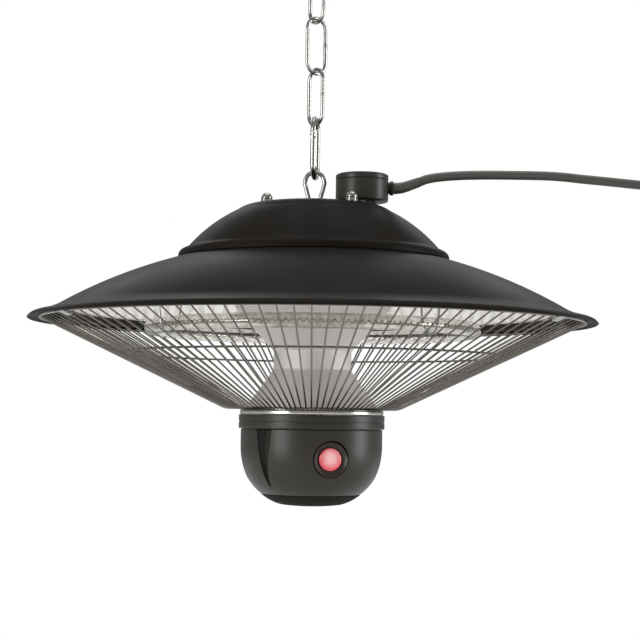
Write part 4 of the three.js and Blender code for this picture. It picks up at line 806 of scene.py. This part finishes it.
def makeCeiling(c):
    # a wire hook whose shank sits in the boss of a turned plate with two screw holes
    t = np.linspace(*c["loopTurn"], 60) * degree
    loop = np.stack([c["loop"] * np.cos(t), 0 * t, c["loopZ"] + c["loop"] * np.sin(t)], -1)
    shank = smoothPath([*((0, 0, c["bossLow"] + up) for up in c["shank"]), loop[0]], 8)
    path = turnAbout(np.vstack([shank[:-2], loop[1:]]), c["turn"])
    normal = (-math.sin(c["turn"] * degree), math.cos(c["turn"] * degree), 0)
    wire = tube("ceiling_hook_wire", path, c["wire"], 18, normal, domed=True)
    place(wire, "ceiling", "bright_steel", chainSteel, "ceiling_hook")
    low = c["bossLow"] + c["bossHigh"]
    top = low + c["thick"]
    bore, boreTop = c["wire"] + c["clear"], c["bossLow"] + c["bore"]
    corners = [(0, top), (c["plate"], top), (c["plate"], low + 1), (c["plate"] - 1, low), (c["boss"], low),
               (c["boss"], c["bossLow"]), (bore, c["bossLow"]), (bore, boreTop), (0, boreTop)]
    plate = turned("ceiling_rose", filleted(corners, c["rounds"], 4), 96)
    under, over = low - c["through"], top + c["through"]
    for side in (-1, 1):
        drill = [(0, under), (c["hole"], under), (c["hole"], over), (0, over)]
        plate = cutWith(plate, turned("tool", drill, 32, (side * c["holeX"], 0)))
    place(plate, "ceiling", "zinc_steel", zincSteel, "ceiling_plate")


makeEye(eye)
makeCeiling(ceiling)
print("chain, hook, eye and ceiling fitting made")


shade = {
    "sheet": 1.2, "hole": 24, "seat": (96, 49.4), "seatRise": 0.25, "foot": (102.2, 47.9),
    "slope": (191, 10.2), "crown": 3.2, "lip": (206, 5.1), "dip": 0.5, "rim": (212.5, 1.1), "rimRound": 0.9,
}


def makeShade(s):
    # level seat, crowned slope, hollow towards the lip, round rim, one sheet thick
    face = ([(s["hole"], s["seat"][1])] + bow(s["seat"], s["foot"], s["seatRise"], 4)
            + bow(s["foot"], s["slope"], s["crown"], 40)[1:]
            + bow(s["slope"], s["lip"], -s["dip"], 8)[1:] + bow(s["lip"], s["rim"], s["rimRound"], 10)[1:])
    turnedPiece("shade_pressing", sheetMetal(face, s["sheet"]), 256, "black_enamel", enamel, "shade")


dome = {
    "sheet": 1.2, "flat": (0, 20, 36), "top": (48, 89.3), "shoulder": (59, 84.9), "side": (95.4, 56.0),
    "flange": (97.2, 55.1), "edge": (102.2, 48.6), "edgeHigh": 1.4, "shoulderRound": 0.8, "sideCrown": 2.4,
    "footRound": 1.4,
}


def makeDome(d):
    # flat top, rounded shoulder, crowned side, and a flange that turns down over the shade
    overEdge = (d["edge"][0], d["edge"][1] + d["edgeHigh"])
    face = ([(r, d["top"][1]) for r in d["flat"]]
            + bow(d["top"], d["shoulder"], d["shoulderRound"], 10)
            + bow(d["shoulder"], d["side"], d["sideCrown"], 20)[1:] + [d["flange"]]
            + bow(d["flange"], overEdge, d["footRound"], 10)[1:] + [d["edge"]])
    turnedPiece("dome_pressing", sheetMetal(face, d["sheet"]), 224, "black_enamel", enamel, "top_dome")


nuts = {
    "ring": 37.5, "angles": (197.7, 317.7, 77.7), "seat": 89.6, "flats": 4.6, "hexHigh": 4, "ball": 4.3,
    "neck": 0.2,
    # height, share of the outline, share of flats at which the corners are turned off
    "levels": [(0, 0, 0.9), (0, 0.86, 0.9), (0.35, 1, 0.96), (3.6, 1, 0.96), (4, 0.9, 0.9)],
}


def makeNuts(n):
    # an acorn nut: a hexagon with chamfered corners under a ball
    t = fullTurn(48)
    outline = n["flats"] * math.cos(math.pi / 6) / np.cos((t % (math.pi / 3)) - math.pi / 6)
    for i, angle in enumerate(n["angles"]):
        centre = (n["ring"] * math.cos(angle * degree), n["ring"] * math.sin(angle * degree))
        rings = [level(np.minimum(outline, n["flats"] * corner) * share, t, n["seat"] + z, centre)
                 for z, share, corner in n["levels"]]
        ballZ = n["seat"] + n["hexHigh"] + n["neck"]
        for a in np.linspace(0, math.pi / 2, 16):
            rings.append(level(n["ball"] * math.cos(a), t, ballZ + n["ball"] * math.sin(a), centre))
        obj = surface("nut_%d" % (i + 1), np.array(rings), False, True)
        place(obj, "heater", "bright_steel", chainSteel, "acorn_nut_%d" % (i + 1))


box = {
    "centre": (36, 4), "radius": 20, "low": 94, "seam": 110.1, "gap": 0.3, "top": 114.8, "wall": 2,
    "rebate": 2.4, "bodyRounds": [0, 1.2, 0.35, 0.2, 1, 0], "lidRounds": [0, 1.5, 0.35, 0.2, 0.5, 0],
    "glandZ": 104.6, "glandIn": 1.5, "ring": 5.4, "ribs": 16, "rib": 0.035,
    # distance along the gland, radius
    "gland": [(0, 0), (0, 4.4), (2.4, 4.4), (2.5, 4.9), (2.9, 5.4), (5.1, 5.4), (5.5, 4.9), (5.5, 0)],
}


def makeBox(b):
    # an open turned cup and its turned lid, a gap apart
    r, bore, floor = b["radius"], b["radius"] - b["wall"], b["low"] + b["wall"]
    corners = [(0, b["low"]), (r, b["low"]), (r, b["seam"]), (bore, b["seam"]), (bore, floor), (0, floor)]
    turnedPiece("box_shell", filleted(corners, b["bodyRounds"], 5), 96, "black_plastic", moulded,
                "junction_box_body", b["centre"])
    low, bore = b["seam"] + b["gap"], r - b["rebate"]
    under = b["top"] - b["wall"]
    corners = [(0, b["top"]), (r, b["top"]), (r, low), (bore, low), (bore, under), (0, under)]
    turnedPiece("box_cover", filleted(corners, b["lidRounds"], 6), 96, "black_plastic", moulded,
                "junction_box_lid", b["centre"])


def makeGland(b):
    # a neck and a ring turned along x; the grooves between the ring's ribs are deep by the share rib
    start = b["centre"][0] + b["radius"] - b["glandIn"]
    t = fullTurn(96)
    rings = []
    for along, radius in b["gland"]:
        ribbed = radius * (1 - b["rib"] * (np.cos(b["ribs"] * t) > 0) * (radius == b["ring"]))
        y = b["centre"][1] + ribbed * np.cos(t)
        rings.append(np.stack([np.full(len(t), start + along), y, b["glandZ"] + ribbed * np.sin(t)], -1))
    gland = surface("gland_ring", np.array(rings), False, True)
    place(gland, "heater", "black_plastic", moulded, "cable_gland")


makeShade(shade)
makeDome(dome)
makeNuts(nuts)
makeBox(box)
makeGland(box)
print("shade, dome and box made")


reflector = {
    "sheet": 0.8, "seat": (88, 47.9), "edge": (185, 10.4), "crown": 3.4, "edgeStep": (0.5, 0.6), "hem": 2.2,
    "hole": 24,
}


def makeReflector(r):
    # level seat, crowned slope, and a hem turned down at its edge
    x, z = r["edge"]
    face = ([(r["hole"], r["seat"][1])] + bow(r["seat"], r["edge"], r["crown"], 30)
            + [(x + r["edgeStep"][0], z - r["edgeStep"][1]), (x + r["sheet"], z - r["hem"])])
    turnedPiece("reflector_spinning", sheetMetal(face, r["sheet"]), 224, "bright_aluminium", hammered,
                "reflector")


column = {
    "foot": (50.6, -64.4), "waistLow": (29.2, -34.6), "waistHigh": (29.2, -20.5), "flare": (58, 11.4),
    "shoulder": (64, 30), "top": 46.8, "flange": 30, "sheet": 1.2, "rounds": [0, 0.8, 3, 3, 8, 6, 1.2, 0],
}


def makeColumn(c):
    # foot cone, straight waist, flaring neck and drum, with small rounds where they meet; a slanted wall is
    # wider on the level, so that it is about one sheet thick
    r, low, high, thick = c["shoulder"][0], c["foot"][1], c["top"], c["sheet"]
    corners = [(c["flange"], low), c["foot"], c["waistLow"], c["waistHigh"], c["flare"], c["shoulder"],
               (r, high), (c["flange"], high)]
    inner = [(c["flange"], high - thick), (r - thick, high - thick), (r - thick, c["shoulder"][1]),
             (c["flare"][0] - 1.5 * thick, c["flare"][1]), (c["waistHigh"][0] - thick, c["waistHigh"][1]),
             (c["waistLow"][0] - thick, c["waistLow"][1]), (c["foot"][0] - 2 * thick, low + thick),
             (c["flange"], low + thick)]
    profile = filleted(corners + inner, c["rounds"] + [0] * len(inner), 6)
    turnedPiece("column_spinning", profile, 160, "bright_aluminium", spun, "centre_column")


lamp = {
    "ring": 121, "z": -4, "tube": 5.5, "glass": 1.1, "gap": 9,
    "windings": 150, "winding": 1.3, "filament": 0.35, "inset": 1.5,
}


def makeLamp(l):
    # an open ring of tube with its gap at the back; the filament is a fine coil of wire carried round it
    path = level(l["ring"], (90 + np.linspace(l["gap"], 360 - l["gap"], 181)) * degree, l["z"])
    outer = tubeGrid(path, l["tube"], 20, (0, 0, 1))
    inner = tubeGrid(path, l["tube"] - l["glass"], 20, (0, 0, 1))
    glass = surface("lamp_tube", np.concatenate([outer, inner[::-1]], 0), True, True, 50)
    place(glass, "heater", "quartz", quartz, "halogen_tube")
    t = np.linspace(0, 1, l["windings"] * 8)
    first = l["gap"] + l["inset"]
    around = (90 + first + (360 - 2 * first) * t) * degree
    wind = 2 * math.pi * l["windings"] * t
    radius = l["ring"] + l["winding"] * np.cos(wind)
    z = l["z"] + l["winding"] * np.sin(wind)
    coil = np.stack([radius * np.cos(around), radius * np.sin(around), z], -1)
    wire = tube("filament_coil", coil, l["filament"], 5, (0.01, 0.02, 1))
    place(wire, "heater", "tungsten", tungsten, "halogen_filament")


makeReflector(reflector)
makeColumn(column)
makeLamp(lamp)
print("reflector, column and lamp made")


guard = {
    "wires": 112, "wire": 0.65, "rim": (203, 2.0), "overRim": 1.2, "knots": (180, 150, 120, 90),
    "corner": (65, -63.6), "bend": 14, "bendFrom": 90.5, "bendTo": 3, "inner": 53.2, "innerWire": 1.1,
    "rimWire": 1.3, "rimLow": 0.2, "middle": 146, "middleWire": 0.75, "middleUp": 2.035,
}


def guardHeight(g, r):
    # height of the cone of wires at the radius r, even between rim and corner
    return g["rim"][1] - (g["rim"][0] - r) * (g["rim"][1] - g["corner"][1]) / (g["rim"][0] - g["corner"][0])


def wireRing(name, radius, z, thick):
    # a round wire carried round a level circle
    path = level(radius, fullTurn(288), z)
    return tube(name, path, thick, 10, (0, 0, 1), closed=True)


def makeGuard(g):
    # every wire: from the rim ring down the cone, round the corner and in to the inner ring
    low = g["corner"][1]
    line = [(r, guardHeight(g, r)) for r in (g["rim"][0] + g["overRim"], *g["knots"])]
    turn = [(g["bendFrom"], guardHeight(g, g["bendFrom"])), g["corner"], (g["inner"] + g["bendTo"], low)]
    line = np.array(line + filleted(turn, [0, g["bend"], 0], 4)[1:-1] + [(g["inner"], low)])
    one = tubeGrid(np.column_stack([line[:, 0], 0 * line[:, 0], line[:, 1]]), g["wire"], 6, (0, 1, 0))
    ends = [one[i].mean(0)[None].repeat(6, 0)[None] for i in (0, -1)]
    one = np.concatenate([ends[0], one, ends[1]], 0)
    every = np.array([turnAbout(one, a) for a in np.arange(g["wires"]) * 360 / g["wires"]])
    rows, columns = one.shape[:2]
    faces = gridFaces(rows, columns, False, True)
    faces = (faces[None] + (np.arange(g["wires"]) * rows * columns)[:, None, None]).reshape(-1, 4)
    wires = finishMesh(meshFrom("guard_wires", toWorld(every).reshape(-1, 3), faces), 60)
    rim = wireRing("guard_rim", g["rim"][0], g["rim"][1] - g["rimLow"], g["rimWire"])
    inner = wireRing("guard_inner_ring", g["inner"], low, g["innerWire"])
    # the middle ring lies on the wires, inside the guard
    over = guardHeight(g, g["middle"]) + g["middleUp"]
    middle = wireRing("guard_middle_ring", g["middle"], over, g["middleWire"])
    for obj in (wires, rim, inner):
        place(obj, "heater", "dark_wire", guardSteel)
    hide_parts("wire_guard")
    place(middle, "heater", "dark_wire", guardSteel, "guard_mid_ring")


makeGuard(guard)
print("wire guard made")


housing = {
    "trimTop": -64.7, "trim": 53.9, "trimIn": 36, "trimHigh": 3.35, "trimRound": 1.1,
    "collarTop": -68.1, "collar": 54.7, "collarHigh": 10.3, "groove": 0.6, "collarHole": 14,
    "collarWall": 1.9, "collarThick": 2.6, "collarRounds": [0, 0.6, 0.15, 0, 0, 0.15, 0.5, 0.2, 0, 0],
    "bowlTop": -78.7, "bowl": 53.1, "wall": 3, "straight": 12.5, "knee": (48.4, -113.7),
    "lip": (37.2, -126.9), "topRound": 0.5, "kneeRound": 1.2, "lowRound": 1.0, "gap": 0.3,
    "spigotIn": 1.7, "spigotHigh": 6, "spigotThick": 2.2, "kneeIn": (3.6, 2), "straightIn": 4.8,
    "capShoulder": (22.7, -134.7), "capLow": -135.8, "capShoulderRound": 0.95, "capRound": 0.5,
    "capLip": (0.25, 0.2), "capSpigot": (2.5, 5), "capSeat": 0.6,
    "flutes": (229, 49), "fluteTop": 7.6, "fluteFoot": 1.2, "fluteLeast": 0.5, "fluteDeep": 4.2,
    "fluteShallow": 0.4, "fluteLength": 42, "fluteWall": 1.2, "bowlRows": 96, "bowlColumns": 720,
    "fluteSection": [(-1, -0.9, 0.1, 0.4, 1), (0, 0.2, 0.95, 1, 0)],  # across, share of its depth
    "flutePaintedShade": [(-1.02, -0.94, 0, 0.95), (0, 1, 0.9, 0)],  # across, share of the painted shade
    "button": 286.5, "buttonZ": -100, "recess": 13.5, "recessFloor": 47.6, "recessBevel": 0.5, "cutTo": 60,
}


def makeTrim(h):
    # a flat ring with a rounded outer edge
    low = h["trimTop"] - h["trimHigh"]
    corners = [(h["trimIn"], h["trimTop"]), (h["trim"], h["trimTop"]), (h["trim"], low), (h["trimIn"], low)]
    profile = filleted(corners, [0, h["trimRound"], h["trimRound"], 0], 5)
    turnedPiece("trim_band", profile, 160, "bright_steel", trimSteel, "trim_ring")


def makeCollar(h):
    # an angle ring: level top, outer wall, and a groove round its middle
    top, low = h["collarTop"], h["collarTop"] - h["collarHigh"]
    r, g, hole = h["collar"], h["groove"], h["collarHole"]
    seam, bore, under = (top + low) / 2, r - h["collarWall"], top - h["collarThick"]
    corners = [(hole, top), (r, top), (r, seam + g / 2), (r - g, seam + g / 2), (r - g, seam - g / 2),
               (r, seam - g / 2), (r, low), (bore, low), (bore, under), (hole, under)]
    profile = filleted(corners, h["collarRounds"], 4)
    turnedPiece("collar_moulding", profile, 160, "black_plastic", moulded, "collar")


def acrossFlute(h, centre, angle, radius, z):
    # share: how far down the flute the height z lies; across: from -1 at one edge to 1 at the other
    share = (h["bowlTop"] - z) / h["fluteLength"]
    half = np.maximum(h["fluteTop"] + (h["fluteFoot"] - h["fluteTop"]) * share, h["fluteLeast"])
    off = angle - centre * degree
    behind = 2
    return share, np.where(np.cos(off) > 0, radius * np.sin(off) / half, behind)


def bowlSkin(h, t, radii, heights):
    # radius of the fluted wall = radius of the plain one - depth of the flute there * its section across
    skin = np.broadcast_to(radii[None, :], (len(t), len(radii))).copy()
    for centre in h["flutes"]:
        share, across = acrossFlute(h, centre, t[:, None], radii, heights)
        depth = np.where(share < 1, h["fluteDeep"] + (h["fluteShallow"] - h["fluteDeep"]) * share, 0)
        skin -= depth * np.interp(across, *h["fluteSection"])
    return skin


def markFlutes(h, body):
    # the point attribute flute is the share of painted shade at each point
    at = np.zeros(len(body.data.vertices) * 3)
    body.data.vertices.foreach_get("co", at)
    x, y, z = (at.reshape(-1, 3) - toWorld(np.zeros(3))).T / mm
    deep = np.zeros(len(z))
    for centre in h["flutes"]:
        share, across = acrossFlute(h, centre, np.arctan2(y, x), np.hypot(x, y), z)
        # painted shade: the flute's share of the near-black colour, strongest on its steep edge
        deep = np.maximum(deep, np.interp(across, *h["flutePaintedShade"]) * (share < 1))
    body.data.attributes.new("flute", "FLOAT", "POINT").data.foreach_set("value", deep)


def makeBowl(h):
    # a fluted skin (rounded top edge, straight wall, knee, lower round down to the lip), a lining at least
    # fluteWall behind it, and a round recess for the button
    face = np.array([(h["bowl"] - h["topRound"], h["bowlTop"]), (h["bowl"], h["bowlTop"] - h["topRound"])]
                    + bow((h["bowl"], h["bowlTop"] - h["straight"]), h["knee"], h["kneeRound"], 20)
                    + bow(h["knee"], h["lip"], h["lowRound"], 20)[1:])
    heights = np.linspace(face[0, 1], face[-1, 1], h["bowlRows"])
    t = np.linspace(0, 360, h["bowlColumns"], endpoint=False) * degree
    skin = bowlSkin(h, t, np.interp(-heights, -face[:, 1], face[:, 0]), heights)
    outer = np.stack([skin * np.cos(t)[:, None], skin * np.sin(t)[:, None],
                      np.broadcast_to(heights, skin.shape)], -1)
    spigot, ledge = h["bowl"] - h["spigotIn"], h["bowlTop"] + h["spigotHigh"]
    kneeX, kneeZ = h["knee"]
    inner = [(h["lip"][0] - h["wall"], h["lip"][1]), (kneeX - h["kneeIn"][0], kneeZ + h["kneeIn"][1]),
             (h["bowl"] - h["straightIn"], h["bowlTop"] - h["straight"]),
             (spigot - h["spigotThick"], ledge), (spigot, ledge), (spigot, h["bowlTop"])]
    lining = []
    for r, z in inner:
        behind = skin[:, np.argmin(abs(heights - z))] - h["fluteWall"]
        lining.append(level(np.minimum(r, behind), t, z))
    body = surface("bowl_moulding", np.concatenate([outer, np.stack(lining, 1)], 1), True, True, 25)
    floor, r, bevel = h["recessFloor"], h["recess"], h["recessBevel"]
    tool = [(0, floor), (r - bevel, floor), (r, floor + bevel), (r, h["cutTo"]), (0, h["cutTo"])]
    body = cutWith(body, surface("tool", facingRings(h, tool), False, True))
    markFlutes(h, body)
    place(body, "heater", "black_plastic", flutedBlackPaintedShade(), "control_bowl")


def facingRings(h, loop):
    # each loop point (radius, distance out from the heater's axis) is carried round the button's axis
    t = fullTurn(96)
    a = h["button"] * degree
    rings = []
    for radius, out in loop:
        x = out * math.cos(a) - radius * np.cos(t) * math.sin(a)
        y = out * math.sin(a) + radius * np.cos(t) * math.cos(a)
        rings.append(np.stack([x, y, h["buttonZ"] + radius * np.sin(t)], -1))
    return np.array(rings)


def makeCap(h):
    # a shallow dish with a spigot inside the bowl's lip
    top = h["lip"][1] - h["gap"]
    r = h["lip"][0]
    face = (bow((r - h["capLip"][0], top - h["capLip"][1]), h["capShoulder"], h["capShoulderRound"], 20)
            + bow(h["capShoulder"], (0, h["capLow"]), h["capRound"], 16)[1:])
    spigot = r - h["wall"] - h["gap"]
    thick, high = h["capSpigot"]
    profile = [(0, top - thick), (spigot - thick, top), (spigot - thick, top + high), (spigot, top + high),
               (spigot, top), (r - h["capSeat"], top)] + face
    turnedPiece("cap_moulding", profile, 160, "black_plastic", shadedBlastedBlack, "bottom_cap")


button = {
    "disc": 8.3, "proud": 0.9, "stem": 3, "stemLength": 4.2, "flange": 10, "flangeThick": 1.7, "back": 43.7,
    "crown": [(8.3, -0.9), (8.05, -0.4), (7.5, -0.1), (4.98, 0.25), (0, 0.4)],  # radius, over the face
    "hole": 8.6, "bezel": 12.6, "bezelThick": 1.5, "rise": 1.2, "gap": 0.3, "paleUp": 1,
    "crest": [(0, 0), (0.4, 0.2), (1.2, -0.6)],  # in from the bezel's rim, over its crest
    "dish": [(1.3, -0.5), (0.3, -0.7), (0, -0.9)],  # out from the bezel's hole, over its face
}


def makeButton(b, h):
    # a dished bezel on the recess's floor, and through it a lens with a flange and stem behind
    low = h["recessFloor"] + b["gap"]
    high = low + b["bezelThick"]
    crest = [(b["bezel"] - inwards, high + b["rise"] + up) for inwards, up in b["crest"]]
    dish = [(b["hole"] + outwards, high + up) for outwards, up in b["dish"]]
    loop = [(b["hole"], low), (b["bezel"], low), *crest, *dish]
    bezel = surface("bezel_ring", facingRings(h, loop), True, True)
    place(bezel, "heater", "black_plastic", moulded, "button_bezel")
    face = high + b["proud"]
    a = h["button"] * degree
    # the centre of the lens's painted glow, a little above its middle
    pale = toWorld(np.array([face * math.cos(a), face * math.sin(a), h["buttonZ"] + b["paleUp"]]))
    flange = b["back"] - b["flangeThick"]
    foot = flange - b["stemLength"]
    stem = [(0, foot), (b["stem"], foot), (b["stem"], flange), (b["flange"], flange)]
    crown = [(radius, face + over) for radius, over in b["crown"]]
    loop = [*stem, (b["flange"], b["back"]), (b["disc"], b["back"]), *crown]
    disc = surface("button_lens", facingRings(h, loop), False, True)
    place(disc, "button", "red_lens", redLens(lens, tuple(pale), b["disc"] * mm), "push_button")


makeTrim(housing)
makeCollar(housing)
makeBowl(housing)
makeCap(housing)
makeButton(button, housing)
print("control housing made")


kept = [
    (zincSteel, ["hanger_plate", "box_strap", "holder_bracket", "lamp_clip_1", "lamp_clip_2"]),
    (zincSteel, [kind + "_%d" % i for kind in ("guard_clip", "standoff_stud", "housing_screw")
                 for i in (1, 2, 3)]),
    (ceramic, ["terminal_block", "lamp_holder_1", "lamp_holder_2"]),
    (cableRubber, ["supply_lead_1", "supply_lead_2"]),
    (sleeveWhite, ["lamp_lead_1", "lamp_lead_2"]),
    (moulded, ["switch_body"]),
    (boardGreen, ["circuit_board"]),
]


def dressKept(groups):
    # pieces that stay as the solids are get the finish of their group
    for finish, names in groups:
        for name in names:
            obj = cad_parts[name]
            obj.data.materials.clear()
            obj.data.materials.append(finish)


dressKept(kept)
print("kept pieces dressed")
